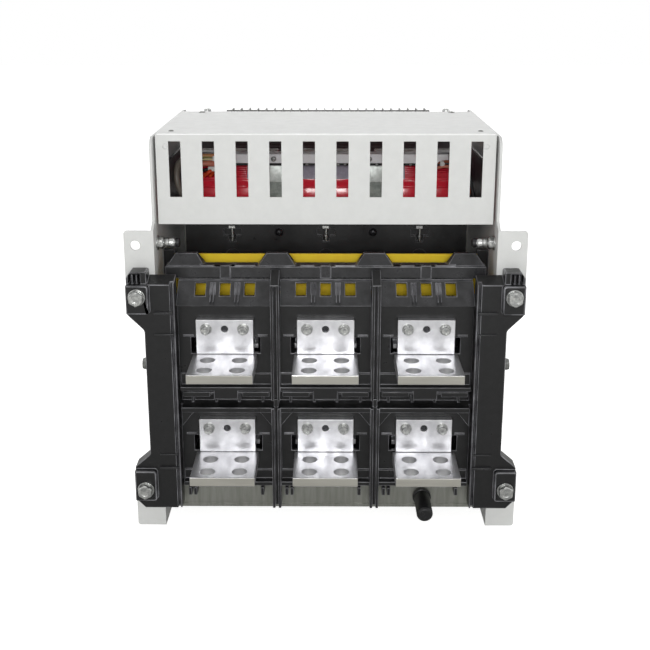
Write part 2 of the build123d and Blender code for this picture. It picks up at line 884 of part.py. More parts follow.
# Hood
def terminal_hood():
    """Thin moulded hood: sloped face with windows, band, ledge and four teeth."""
    run = band_y - nose_y
    rise = slope_top - nose_z
    length = math.hypot(run, rise)
    shift_y = hood_sheet * rise / length
    shift_z = -hood_sheet * run / length
    slope = along_x(
        [
            (nose_y, nose_z),
            (band_y, slope_top),
            (band_y + shift_y + 1, slope_top),
            (band_y + shift_y + 1, slope_top + shift_z),
            (nose_y + shift_y + 3, nose_z + shift_z + 3),
            (rear_plane + base_wall, nose_z + 1),
            (rear_plane + base_wall, nose_z),
        ],
        -end_inner,
        end_inner,
    )
    for x in poles:
        for offset in window_offsets:
            slope = slope - block(x + offset - window_wide / 2, x + offset + window_wide / 2,
                                  nose_y - 1, band_y + 8, window_low, window_high)
        for offset in (-window_pitch / 2 - 1.5, -window_pitch / 2 + 1.5, window_pitch / 2 - 1.5,
                       window_pitch / 2 + 1.5):
            rib = along_x(
                [(nose_y - 1.4, nose_z + 4), (band_y - 2.6, slope_top - 2),
                 (band_y, slope_top - 2), (nose_y + 3, nose_z + 4)],
                x + offset - 0.6,
                x + offset + 0.6,
            )
            slope = slope + rib
    neck = block(-end_inner, end_inner, band_y + 2.2, band_y + 5, slope_top - 4, band_low + 2)
    band = block(-hood_half, hood_half, band_y, band_y + 4, band_low, band_high)
    ledge = block(-hood_half, hood_half, band_y, ledge_front, band_high, ledge_top)
    hood = slope + neck + band + ledge
    for x in tooth_x:
        front = along_y(
            [(x - tooth_half_low, ledge_top - 1), (x + tooth_half_low, ledge_top - 1),
             (x + tooth_half_high, tooth_top), (x - tooth_half_high, tooth_top)],
            tooth_rear,
            ledge_front,
        )
        lean = along_x(
            [(tooth_rear, ledge_top - 1), (ledge_front, ledge_top - 1),
             (ledge_front, tooth_top), (tooth_crest, tooth_top)],
            x - tooth_half_low,
            x + tooth_half_low,
        )
        hood = hood + (front & lean)
    for x in partitions:
        half = partition_wide / 2 + part_gap
        hood = hood - block(x - half, x + half, nose_y - 4, block_top_y + part_gap, nose_z - 1,
                            slope_top + 1)
    for x in poles:
        latch = block(x - latch_wide / 2, x + latch_wide / 2, band_y - 1.5, band_y + 4,
                      band_low + 0.5, ledge_top + 1.5)
        hood = hood + latch
        for start, end in ((-24, -11), (9, 28)):
            hood = hood + block(x + start, x + end, band_y + 1, band_y + 6, ledge_top - 1,
                                ledge_top + 1.2)
    return hood


# Shutters and their guides
def shutter(low, high):
    """Yellow sheet across the chambers, with a stiffening bead along its middle."""
    sheet_rear = shutter_y - shutter_thick / 2
    plate = block(-shutter_half, shutter_half, sheet_rear, sheet_rear + shutter_thick, low, high)
    middle = (low + high) / 2
    bead = rod_x(sheet_rear + shutter_thick, middle, 1.6, -shutter_half + 12, shutter_half - 12)
    keep = block(-shutter_half, shutter_half, sheet_rear + shutter_thick,
                 sheet_rear + shutter_thick + 2, low, high)
    return plate + (bead & keep)


def shutter_guides():
    """Slotted strips inside the side plates in which both shutters run."""
    rear = base_front + guard_thick + guard_gap
    low = lower_shutter_low - 3
    high = upper_shutter_high + 4
    strip = block(guide_inner, plate_in, rear, guide_front, low, high)
    slot = block(
        guide_inner - 1, shutter_half + shutter_gap, shutter_y - shutter_thick / 2 - shutter_gap,
        shutter_y + shutter_thick / 2 + shutter_gap, low - 1, high + 1,
    )
    return both_sides(strip - slot)


# Rails
def fixed_rail():
    """Channel bolted inside the right side plate."""
    return along_y(
        [
            (plate_in, rail_low),
            (plate_in, rail_high),
            (rail_open, rail_high),
            (rail_open, rail_high - rail_web),
            (plate_in - rail_web, rail_high - rail_web),
            (plate_in - rail_web, rail_low + rail_web),
            (rail_open, rail_low + rail_web),
            (rail_open, rail_low),
        ],
        rail_rear,
        cradle_front - 2,
    )


def sliding_rail():
    """Inner rail with the ledge that carries the breaker's side plate."""
    low = rail_low + rail_web + rail_gap
    high = rail_high - rail_web - rail_gap
    outer = plate_in - rail_web - rail_gap
    bar = along_y(
        [
            (outer, low),
            (outer, high),
            (rail_open, high),
            (rail_open, low + slide_thick),
            (slide_ledge, low + slide_thick),
            (slide_ledge, low),
        ],
        slide_rear,
        cradle_front + 4,
        [((rail_open, low + slide_thick), 1)],
    )
    nose_in = breaker_half + frame_side_gap + frame_side + frame_gap
    nose = block(nose_in, outer, cradle_front + 4, cradle_front + 7, low, high + 2)
    return bar + nose


ledge_top_z = rail_low + rail_web + rail_gap + slide_thick


# Racking gear
def racking_beam():
    """Cross beam with the nut in its middle and two horns behind the breaker's keel."""
    beam = block(-beam_block_half, beam_block_half, beam_block_rear, beam_block_front,
                 beam_block_low, beam_block_high)
    beam = chamfer(beam.edges().filter_by(Axis.Z), 4)
    for x in (-horn_x, horn_x):
        beam = beam + block(x - horn_wide / 2, x + horn_wide / 2, beam_block_rear,
                            beam_block_rear + 8, beam_block_high - 1, horn_top - 12)
    return beam - rod_y(0, screw_z, screw_r + screw_fit, beam_block_rear - 1,
                        beam_block_front + 1)


def racking_screw():
    """Lead screw with thread-like grooves, a collar and a hexagon for the crank."""
    screw = rod_y(0, screw_z, screw_r, screw_rear + 8, cradle_front - 6)
    screw = screw + rod_y(0, screw_z, screw_neck_r, screw_rear, screw_rear + 8)
    screw = screw + rod_y(0, screw_z, screw_neck_r, cradle_front - 6, cradle_front + 14)
    return screw + hex_y(0, screw_z, screw_hex, cradle_front + 14, cradle_front + 28)


def screw_bearings():
    """Two bearing blocks on the floor pan that carry the lead screw."""
    floor = pan_low + sheet
    pieces = []
    for y0, y1 in ((screw_rear - 2, screw_rear + 7.7), (cradle_front - 5.7, cradle_front + 4)):
        bearing = along_y(
            [(-20, floor), (20, floor), (11, screw_z + 11), (-11, screw_z + 11)], y0, y1,
            [((11, screw_z + 11), 4), ((-11, screw_z + 11), 4)],
        )
        pieces.append(bearing - rod_y(0, screw_z, screw_neck_r + screw_fit, y0 - 1, y1 + 1))
    return group(pieces)


# Crank and sleeve
def crank_sleeve():
    """Closed tube that stores the crank; its round end shows below the terminals."""
    tube = rod_y(sleeve_x, sleeve_z, sleeve_r, sleeve_rear, cradle_front)
    tube = chamfer(tube.edges().group_by(Axis.Y)[0], 2.2)
    collar = rod_y(sleeve_x, sleeve_z, sleeve_collar_r, beam_y - 1.2 - sleeve_collar, beam_y - 1.2)
    bore = rod_y(sleeve_x, sleeve_z, sleeve_bore, sleeve_rear + sleeve_end, cradle_front + 1)
    return tube + collar - bore


def racking_crank():
    """Crank with its folding handle laid along the shaft's front end."""
    shaft = rod_y(sleeve_x, sleeve_z, crank_r, sleeve_rear + sleeve_end + 6, sill_front - 6)
    grip = rod_y(sleeve_x, sleeve_z, 10.5, sill_front - 14, sill_front + 12)
    grip = chamfer(grip.edges().group_by(Axis.Y)[-1], 2.5)
    socket = hex_y(sleeve_x, sleeve_z, screw_hex - 1.6, sleeve_rear, sleeve_rear + 40)
    return shaft + grip - socket


# Front sill
def front_sill():
    """Hollow front moulding with the racking hole, crank store and padlock slot."""
    outer = block(-sill_half, sill_half, cradle_front, sill_front, sill_low, sill_high)
    outer = fillet(outer.edges().filter_by(Axis.X).group_by(Axis.Y)[-1], 4)
    inner = block(-sill_half + sill_wall, sill_half - sill_wall, cradle_front - 1,
                  sill_front - sill_wall, sill_low + sill_wall, sill_high - sill_wall)
    sill = outer - inner
    sill = sill - rod_y(0, screw_z, 11, sill_front - 5, sill_front + 1)
    sill = sill - rod_y(sleeve_x, sleeve_z, 11.5, sill_front - 5, sill_front + 1)
    sill = sill - block(-96.5, -83.5, sill_front - 5, sill_front + 1, 25.5, 36.5)
    return sill - block(34, 58, sill_front - sill_wall / 2, sill_front + 1, 24, 38)


def padlock_tab():
    """Sliding tab with the padlock hole; pulled out it locks the racking hole."""
    tab = block(-96, -84, cradle_front + 6, sill_front + 3, 26, 36)
    return tab - rod_x(sill_front - 8, 31, 3.2, -97, -83)


# Arc cover and top gear
def arc_cover():
    """Folded sheet cover with ten tall vents, side flanges and fixing ears."""
    half = cover_half
    top = cover_top
    rear = block(-half, half, cover_rear, cover_rear + cover_sheet, cover_low, top)
    roof = block(-half, half, cover_rear, cover_front, top - cover_sheet, top)
    cover = rear + roof
    cover = fillet(cover.edges().filter_by(Axis.X).filter_by_position(
        Axis.Y, cover_rear - 0.1, cover_rear + 0.1).group_by(Axis.Z)[-1], 1.4)
    for side in (-1, 1):
        x0, x1 = sorted((side * (half - cover_sheet), side * half))
        cover = cover + block(x0, x1, cover_rear, cover_front, top - cover_flange, top)
        cover = cover + block(x0, x1, cover_rear, cover_rear + cover_ear_deep,
                              top - cover_ear_high, top)
    for n in range(vent_count):
        x = (n - (vent_count - 1) / 2) * vent_pitch
        vent = block(x - vent_wide / 2, x + vent_wide / 2, cover_rear - 1,
                     cover_rear + cover_sheet + 1, vent_low, vent_high)
        cover = cover - vent
    cover = cover - rod_x(cover_screw_y, cover_screw_z, cover_screw_r + 0.1, -half - 1, half + 1)
    for side in (-1, 1):
        cover = cover - rod_y(side * cover_hole_x, top - 12, cover_hole_r, cover_rear - 1,
                              cover_rear + 3)
        cover = cover - rod_z(side * cover_bolt_x, cover_front - 8, cover_hole_r,
                              top - 3, top + 1)
    return cover


def cover_screws():
    """Screws through the side plates and along the cover's front edge."""
    pieces = []
    for side in (-1, 1):
        inner, outer = side * (cover_half - cover_sheet - 4), side * plate_out
        shank = rod_x(cover_screw_y, cover_screw_z, cover_screw_r, min(inner, outer),
                      max(inner, outer))
        head0, head1 = sorted((side * plate_out, side * (plate_out + 1.8)))
        head = rod_x(cover_screw_y, cover_screw_z, 3.6, head0, head1)
        pieces.append(shank + head)
        x = side * cover_bolt_x
        pan = rod_z(x, cover_front - 8, 3.6, cover_top, cover_top + 1.2)
        pan = pan + rod_z(x, cover_front - 8, 1.8, cover_top - 8, cover_top)
        pieces.append(pan)
    return group(pieces)


def guide_studs():
    """Stud, nut, roller and black end cap inside each side plate."""
    stud = rod_x(stud_y, stud_z, 3.5, stud_tip + 4, plate_in)
    nut_out = plate_in - stud_washer
    nut = hex_x(stud_y, stud_z, stud_nut_flats, nut_out - stud_nut, nut_out)
    washer = rod_x(stud_y, stud_z, stud_washer_r, nut_out, plate_in)
    roller = rod_x(stud_y, stud_z, stud_roller_r, stud_tip + 4.5, stud_tip + 14)
    cap = rod_x(stud_y, stud_z, 4.4, stud_tip, stud_tip + 4)
    return both_sides(stud + nut + washer + roller + cap)


def top_crossbar():
    """Folded bar that ties the side plates and carries the connector block."""
    return along_x(
        [
            (crossbar_rear, crossbar_low),
            (crossbar_rear + sheet, crossbar_low),
            (crossbar_rear + sheet, crossbar_high - sheet),
            (crossbar_front, crossbar_high - sheet),
            (crossbar_front, crossbar_high),
            (crossbar_rear, crossbar_high),
        ],
        -plate_in,
        plate_in,
        [((crossbar_rear, crossbar_high), 3)],
    )


def secondary_connector():
    """Auxiliary terminal block: body with a barrier between every two terminals."""
    rear = crossbar_rear + 2
    front = crossbar_front - 2
    body = block(connector_low_x, connector_high_x, rear, front, crossbar_high,
                 connector_body_top)
    body = body - block(connector_low_x + 3, connector_high_x - 3, rear + 8, front - 8,
                        connector_body_top - 4, connector_body_top + 1)
    count = int((connector_high_x - connector_low_x) // connector_pitch)
    start = (connector_low_x + connector_high_x - count * connector_pitch) / 2
    for n in range(count + 1):
        x = start + n * connector_pitch
        body = body + block(x - 0.9, x + 0.9, rear, front, crossbar_high, connector_top)
    return body


# Breaker casing
def rear_casing():
    """Rear half of the pole casing with its three contact cells."""
    shell = block(-breaker_half, breaker_half, casing_rear, casing_split, casing_low,
                  casing_high)
    for x in poles:
        shell = shell - block(x - cell_half, x + cell_half, casing_rear + casing_wall,
                              casing_split + 1, casing_low + 8, casing_high + 1)
        for drop in (0, base_step):
            z = stab_z - drop
            shell = shell - block(x - stab_wide / 2, x + stab_wide / 2, casing_rear - 1,
                                  casing_rear + casing_wall + 1, z - stab_thick / 2,
                                  z + stab_thick / 2)
        shell = shell - block(x - 9, x + 9, casing_rear - 1, casing_rear + 4,
                              chute_pocket_z - 3.8, chute_pocket_z + 3.8)
        shell = shell - block(x - 3.6, x + 3.6, casing_rear - 1, casing_rear + 4,
                              chute_pocket_z - chute_pocket_half,
                              chute_pocket_z + chute_pocket_half)
        shell = shell - rod_y(x, chute_pocket_z - 25, 7.5, casing_rear - 1, casing_rear + 1)
    return shell


def front_casing():
    """Front half of the pole casing, slotted for the drive links."""
    shell = block(-breaker_half, breaker_half, casing_split, casing_front, casing_low,
                  casing_high)
    for x in poles:
        shell = shell - block(x - cell_half, x + cell_half, casing_split - 1,
                              casing_front - 8, casing_low + 8, casing_high + 1)
        slot = lever_offset + lever_thick / 2 + frame_gap
        shell = shell - block(x - slot, x + slot, casing_front - 9, casing_front + 1,
                              shaft_z - 24, shaft_z + 36)
    return shell


def casing_bolts():
    """Tie bolts whose round heads show between the poles at the rear."""
    pieces = []
    for x in partitions:
        for z in (stab_z - base_step + 16, chute_pocket_z):
            head = rod_y(x, z, 5.5, casing_rear - 4, casing_rear)
            pieces.append(head)
    return group(pieces)


def breaker_side_plates():
    """Steel side plates of the breaker; their lower edges ride on the rails."""
    inner = breaker_half + frame_side_gap
    plate = along_x(
        [
            (side_plate_rear, ledge_top_z + rail_gap),
            (side_plate_front, ledge_top_z + rail_gap),
            (side_plate_front, side_plate_shoulder),
            (side_plate_front - 30, side_plate_top),
            (side_plate_rear, side_plate_top),
        ],
        inner,
        inner + frame_side,
        [((side_plate_front - 30, side_plate_top), 10),
         ((side_plate_front, side_plate_shoulder), 10), ((side_plate_rear, side_plate_top), 8)],
    )
    plate = plate - rod_x(shaft_y, shaft_z, shaft_neck_r + shaft_fit, inner - 1,
                          inner + frame_side + 1)
    return both_sides(plate)


def stabs(drop):
    """Flat silver-plated contact bars through the rear casing into the jaws."""
    pieces = []
    z = stab_z - drop
    for x in poles:
        bar = block(x - stab_wide / 2, x + stab_wide / 2, stab_tip, casing_rear + casing_wall + 8,
                    z - stab_thick / 2, z + stab_thick / 2)
        bar = chamfer(bar.edges().filter_by(Axis.X).group_by(Axis.Y)[0], 2.5)
        if drop == 0:
            bar = bar + block(x - 26, x + 26, casing_rear + casing_wall, -46,
                              z - stab_thick / 2, z + 24)
            bar = bar + block(x - 25, x + 25, -46, -46 + pad_thick, z - 3, z + 21)
        else:
            bar = bar + block(x - 26, x + 26, casing_rear + casing_wall + 6, -44,
                              z - stab_thick / 2, z + stab_thick / 2)
            for side in (-1, 1):
                ear = along_x(
                    [(-46, z - 5), (contact_pivot_y + 9, z - 5), (contact_pivot_y + 9, z + 20),
                     (-46, z + 5)],
                    x + side * 29 - 3,
                    x + side * 29 + 3,
                )
                link = block(x + side * 29 - 3, x + side * 29 + 3, -46, -44, z - 5, z + 5)
                ear = ear + link
                bar = bar + ear + block(min(x + side * 20, x + side * 32),
                                        max(x + side * 20, x + side * 32), -50, -40,
                                        z - 5, z + 5)
            bar = bar - rod_x(contact_pivot_y, contact_pivot_z, contact_pin_r + shaft_fit,
                              x - 40, x + 40)
        pieces.append(bar)
    return group(pieces)


def arc_chute(x):
    """Red moulded arc chute with a tapered hood, splitter slots and a rear vent."""
    low = casing_high + chute_gap
    high = (chute_top - low) * 2 / 3
    rear = casing_rear + 1
    skirt = block(x - chute_half, x + chute_half, rear, chute_front, low, low + high)
    crown = Pos(x, (rear + chute_front) / 2, low + high) * extrude(
        Rectangle(2 * chute_half, chute_front - rear),
        amount=chute_top - low - high, taper=chute_taper_deg)
    chute = skirt + crown
    chute = fillet(skirt_edges(chute, x), 3)
    inner = block(x - chute_half + chute_wall, x + chute_half - chute_wall, rear + chute_wall,
                  chute_front - chute_wall, low - 1, low + high - 2 * chute_wall)
    chute = chute - inner
    middle = (rear + chute_front) / 2
    for n in range(splitter_slots):
        y = middle + (n - (splitter_slots - 1) / 2) * splitter_pitch - splitter_slot / 2
        chute = chute - block(x - 26, x + 26, y, y + splitter_slot, chute_top - 6, chute_top + 1)
    return chute


def skirt_edges(chute, x):
    upright = chute.edges().filter_by(Axis.Z)
    return [edge for edge in upright if abs(abs(edge.center().X - x) - chute_half) < 0.1]


def clamp_bar():
    """Grey steel strip across the chute tops at the rear."""
    bar = block(-breaker_half + 3, breaker_half - 3, casing_rear - 2, casing_rear,
                clamp_bar_low, clamp_bar_high)
    return bar + block(-breaker_half + 3, breaker_half - 3, casing_rear, casing_rear + 16,
                       clamp_bar_low, clamp_bar_low + 2)


def chute_brackets():
    """Zinc-plated brackets that stand between the chutes and carry the clamp bar."""
    pieces = []
    for x in partitions:
        stem = block(x - 3.2, x + 3.2, casing_rear + 8, casing_rear + 22, casing_high,
                     clamp_bar_low)
        face = block(x - 9, x + 9, casing_rear - 2, casing_rear, casing_high + 14,
                     clamp_bar_low)
        tie = block(x - 3.2, x + 3.2, casing_rear - 2, casing_rear + 9, casing_high + 14,
                    casing_high + 40)
        pieces.append(stem + face + tie)
    return group(pieces)


def chute_screws():
    """Upright screws and grey tabs in the cross-shaped pockets at the casing's rear."""
    pieces = []
    for x in poles:
        tab = block(x - 7, x + 7, casing_rear + chute_screw_r + 0.2, casing_rear + 4,
                    chute_pocket_z - 1.8, chute_pocket_z + 1.8)
        screw = rod_z(x, casing_rear + 0.2, chute_screw_r,
                      chute_pocket_z - chute_pocket_half + part_gap, chute_pocket_z + 6)
        pieces.append(tab + screw)
    return group(pieces)


def secondary_plug():
    """Moving half of the auxiliary connector, carried behind the front cover's plate."""
    front = front_back
    plug = block(connector_low_x, connector_high_x, front - plug_deep, front, plug_low, plug_high)
    plug = fillet(plug.edges().filter_by(Axis.X).group_by(Axis.Z)[-1], 2)
    sockets = block(connector_low_x + 4, connector_high_x - 4, front - plug_deep + 5, front - 5,
                    plug_high - plug_cavity, plug_high + 1)
    plug = plug - sockets
    count = int((connector_high_x - connector_low_x) // connector_pitch)
    start = (connector_low_x + connector_high_x - count * connector_pitch) / 2
    for n in range(1, count):
        x = start + n * connector_pitch
        plug = plug + block(x - 0.9, x + 0.9, front - plug_deep + 4, front - 4,
                            plug_high - plug_cavity - 1, plug_high - 2)
    return plug


def wiring():
    """Bundles of control wires up the casing's ends, and the plug that they lead to."""
    pieces = [secondary_plug()]
    y = casing_rear - wire_r
    for side in (-1, 1):
        x = side * (breaker_half - 6)
        path = FilletPolyline((x, y, casing_high - 60), (x, y, casing_high + 30),
                              (x - side * 34, y, casing_high + 45), radius=14)
        bundle = Plane(origin=path @ 0, z_dir=path % 0) * RegularPolygon(wire_r, 6)
        pieces.append(sweep(bundle, path=path))
    return group(pieces)


# Contacts and mechanism
def moving_contacts():
    """Finger contacts on their pivot pins, drawn open, with the drive links."""
    pieces = []
    swing = Axis((0, contact_pivot_y, contact_pivot_z), (1, 0, 0))
    for x in poles:
        pin = rod_x(contact_pivot_y, contact_pivot_z, contact_pin_r, x - 34, x + 34)
        arm = pin
        for n in range(contact_count):
            fx = x + (n - (contact_count - 1) / 2) * contact_pitch
            finger = along_x(
                [(contact_pivot_y - 9, contact_pivot_z - 9), (contact_pivot_y + 9, contact_pivot_z - 9),
                 (contact_pivot_y + 6, contact_top - 20), (-40.7 + 6, contact_top),
                 (-40.7, contact_top), (-40.7, contact_top - 20),
                 (contact_pivot_y - 9, contact_pivot_z + 40)],
                fx - contact_wide / 2,
                fx + contact_wide / 2,
            )
            arm = arm + finger
        arm = arm + block(x - 24, x + 24, contact_pivot_y - 8, contact_pivot_y + 6, 140, 150)
        lug = block(x - 5, x + 5, contact_pivot_y + 2, contact_pivot_y + 16, 168, 182)
        pieces.append((arm + lug).rotate(swing, -contact_open_deg))
    return group(pieces)


def main_shaft():
    """Hexagon shaft across the poles with round journals and one forked lever per pole."""
    neck_half = breaker_half + frame_side_gap + frame_side
    shaft = hex_x(shaft_y, shaft_z, 2 * shaft_r, -shaft_half, shaft_half)
    shaft = shaft + rod_x(shaft_y, shaft_z, shaft_neck_r, shaft_half, neck_half)
    shaft = shaft + rod_x(shaft_y, shaft_z, shaft_neck_r, -neck_half, -shaft_half)
    for x in poles:
        for side in (-1, 1):
            lever = along_x(
                [(shaft_y - 11, shaft_z - 11), (shaft_y + 11, shaft_z - 11),
                 (shaft_y + 6, shaft_z + lever_reach), (shaft_y - 6, shaft_z + lever_reach)],
                x + side * lever_offset - lever_thick / 2,
                x + side * lever_offset + lever_thick / 2,
            )
            shaft = shaft + lever
        pin_half = lever_offset - lever_thick / 2
        shaft = shaft + rod_x(shaft_y, shaft_z + lever_reach - 2 * lever_pin_r, lever_pin_r,
                              x - pin_half, x + pin_half)
    return shaft


def mechanism_frame():
    """Two steel cheeks, cross ties, spring seat and the plate behind the front cover."""
    plate_rear = front_back + part_gap
    plate_front = trip_rear - part_gap
    cheek = along_x(
        [(casing_front + 0.2, 205), (shaft_y + 26, 205), (shaft_y + 26, 130), (plate_rear, 130),
         (plate_rear, casing_high - 10), (casing_front + 0.2, casing_high - 10)],
        cheek_in,
        cheek_in + cheek_thick,
    )
    frame = cheek + flipped(cheek)
    for y, z in ((60, casing_high - 24), (100, 150)):
        frame = frame + rod_x(y, z, 4, -cheek_in, cheek_in)
    frame = frame + block(-cheek_in, cheek_in, spring_y - 14, spring_y + 14,
                          spring_low - part_gap - 3, spring_low - part_gap)
    half = front_half - front_wall - part_gap
    return frame + block(-half, half, plate_rear, plate_front, front_low + front_wall + part_gap,
                         front_high - front_wall - part_gap)


def closing_spring():
    """Closing spring drawn as a sleeve with one ridge for each coil."""
    pitch = spring_length / spring_coils
    inner = spring_r - 6
    profile = [(inner, spring_low)]
    for n in range(spring_coils):
        start = spring_low + n * pitch
        profile = profile + [(spring_r - 3, start), (spring_r, start + 0.35 * pitch),
                             (spring_r, start + 0.65 * pitch)]
    top = spring_low + spring_length
    profile = profile + [(spring_r - 3, top), (inner, top)]
    plane = Plane(origin=(0, spring_y, 0), x_dir=(1, 0, 0), z_dir=(0, -1, 0))
    return revolve(plane * outline(profile), Axis((0, spring_y, 0), (0, 0, 1)))


# Front cover and controls
def front_cover():
    """Moulded front shell with windows for the trip unit, handle, flags and buttons."""
    shell = block(-front_half, front_half, front_back, front_face, front_low, front_high)
    shell = fillet(shell.edges().filter_by(Axis.Y), front_round)
    shell = fillet(shell.faces().sort_by(Axis.Y)[-1].edges(), 3)
    hollow = block(-front_half + front_wall, front_half - front_wall, front_back - 1,
                   front_face - front_wall, front_low + front_wall, front_high - front_wall)
    shell = shell - hollow
    cut0 = front_face - 6
    cut1 = front_face + 1
    gap = button_gap
    shell = shell - block(trip_x0 - gap, trip_x1 + gap, cut0, cut1, trip_z0 - gap, trip_z1 + gap)
    shell = shell - block(handle_x - handle_half - 4, handle_x + handle_half + 4, cut0, cut1,
                          handle_pivot_z - 22, handle_top + 5)
    for z in (on_button_z, off_button_z):
        shell = shell - rod_y(button_x, z, button_r + gap, cut0, cut1)
    shell = shell - block(flag_x - 9, flag_x + 9, cut0, cut1, flag_z - 7, flag_z + 7)
    shell = shell - block(flag_x - 9, flag_x + 9, cut0, cut1, flag_z + 29, flag_z + 43)
    return shell


def button(z):
    """Round push button with its stem and the collar that keeps it in the cover."""
    head = rod_y(button_x, z, button_r, front_face - front_wall - 4, front_face + button_out)
    head = chamfer(head.edges().group_by(Axis.Y)[-1], 1.2)
    collar = rod_y(button_x, z, button_r + 2, front_face - front_wall - 4,
                   front_face - front_wall - 0.3)
    stem = rod_y(button_x, z, 3, front_face - 50, front_face - front_wall - 4)
    return head + collar + stem


def button_carrier():
    """Bracket behind the cover that guides the buttons and carries both flags."""
    plate = block(button_x - 20, button_x + 20, front_face - 42, front_face - 38,
                  on_button_z - 16, flag_z + 56)
    for z in (on_button_z - 16, flag_z + 52):
        plate = plate + block(button_x - 20, button_x + 20, trip_rear, front_face - 41, z, z + 4)
    for z in (on_button_z, off_button_z):
        plate = plate - rod_y(button_x, z, 3.1, front_face - 43, front_face - 37)
    for z in (flag_z, flag_z + 36):
        for side in (-1, 1):
            arm = block(flag_x + side * 17 - 1.5, flag_x + side * 17 + 1.5, front_face - 39,
                        front_face - 14, z - 8, z + 8)
            plate = plate + arm - rod_x(front_face - 22, z, 2.06, flag_x - 20, flag_x + 20)
    return plate


def flag(z):
    """Drum sector on a pin; its face shows in the cover's window."""
    drum = rod_x(front_face - 22, z, flag_r, flag_x - flag_half, flag_x + flag_half)
    keep = block(flag_x - flag_half, flag_x + flag_half, front_face - 26, front_face - 4,
                 z - 13, z + 13)
    pin = rod_x(front_face - 22, z, 2.0, flag_x - 18.4, flag_x + 18.4)
    return (drum & keep) + pin


def charging_handle():
    """Lever on a cross pin with a grip at its upper end."""
    y = handle_pivot_y
    lever = along_x(
        [
            (y - 8, handle_pivot_z - 8),
            (y + 8, handle_pivot_z - 8),
            (handle_face - 12, handle_pivot_z + 30),
            (handle_face - 8, handle_top - 30),
            (handle_face, handle_top - 22),
            (handle_face, handle_top - 4),
            (handle_face - 6, handle_top),
            (handle_face - 16, handle_top),
            (handle_face - 22, handle_top - 24),
            (y + 2, handle_pivot_z + 34),
            (y - 8, handle_pivot_z + 8),
        ],
        handle_x - handle_half,
        handle_x + handle_half,
        [((handle_face, handle_top - 4), 3), ((handle_face, handle_top - 22), 6)],
    )
    lever = lever + rod_x(y, handle_pivot_z, 8, handle_x - handle_half, handle_x + handle_half)
    return lever + rod_x(y, handle_pivot_z, 3, handle_x - 14, handle_x + 14)


def handle_bracket():
    """Forked bracket inside the cover that holds the handle's pin."""
    y = handle_pivot_y
    back = block(handle_x - 20, handle_x + 20, trip_rear, trip_rear + 4,
                 handle_pivot_z - 16, handle_pivot_z + 16)
    for side in (-1, 1):
        back = back + block(handle_x + side * 12.5 - 2, handle_x + side * 12.5 + 2,
                            trip_rear + 2, front_face - front_wall - 0.4, handle_pivot_z - 9,
                            handle_pivot_z + 9)
    return back - rod_x(y, handle_pivot_z, 3.06, handle_x - 15, handle_x + 15)


def trip_unit():
    """Electronic trip unit: box with a stepped face, display recess and key row."""
    body = block(trip_x0, trip_x1, trip_rear, trip_face, trip_z0, trip_z1)
    body = fillet(body.faces().sort_by(Axis.Y)[-1].edges(), 2)
    body = body - block(trip_x0 + 10, trip_x1 - 10, trip_face - 2, trip_face + 1,
                        trip_z0 + trip_display_low, trip_z0 + trip_display_high)
    for column in range(4):
        x = trip_x0 + 18 + column * 16
        body = body + rod_y(x, trip_z0 + trip_keys_z, 4, trip_face - 1, trip_face + 1.2)
    x = (trip_x0 + trip_x1) / 2
    return body - rod_y(x, trip_z0 + reset_z, reset_r + button_gap, trip_face - 12, trip_face + 1)


def reset_button():
    x = (trip_x0 + trip_x1) / 2
    head = rod_y(x, trip_z0 + reset_z, reset_r, trip_face - 7, trip_face + 4)
    return chamfer(head.edges().group_by(Axis.Y)[-1], 0.8)


def trip_window():
    """Clear hinged cover over the trip unit's settings."""
    x0 = trip_x0 + 6
    x1 = trip_x1 - 6
    y = trip_face + 1.5
    hinge_z = trip_z0 + trip_keys_z - 4
    pane = block(x0, x1, y, y + 2, trip_z0 + 30, hinge_z - 4)
    knuckle = rod_x(y + 1.5, hinge_z, 1.2, x0 + 4, x1 - 4)
    return pane + block(x0 + 4, x1 - 4, y, y + 2, hinge_z - 5, hinge_z + 0.2) + knuckle


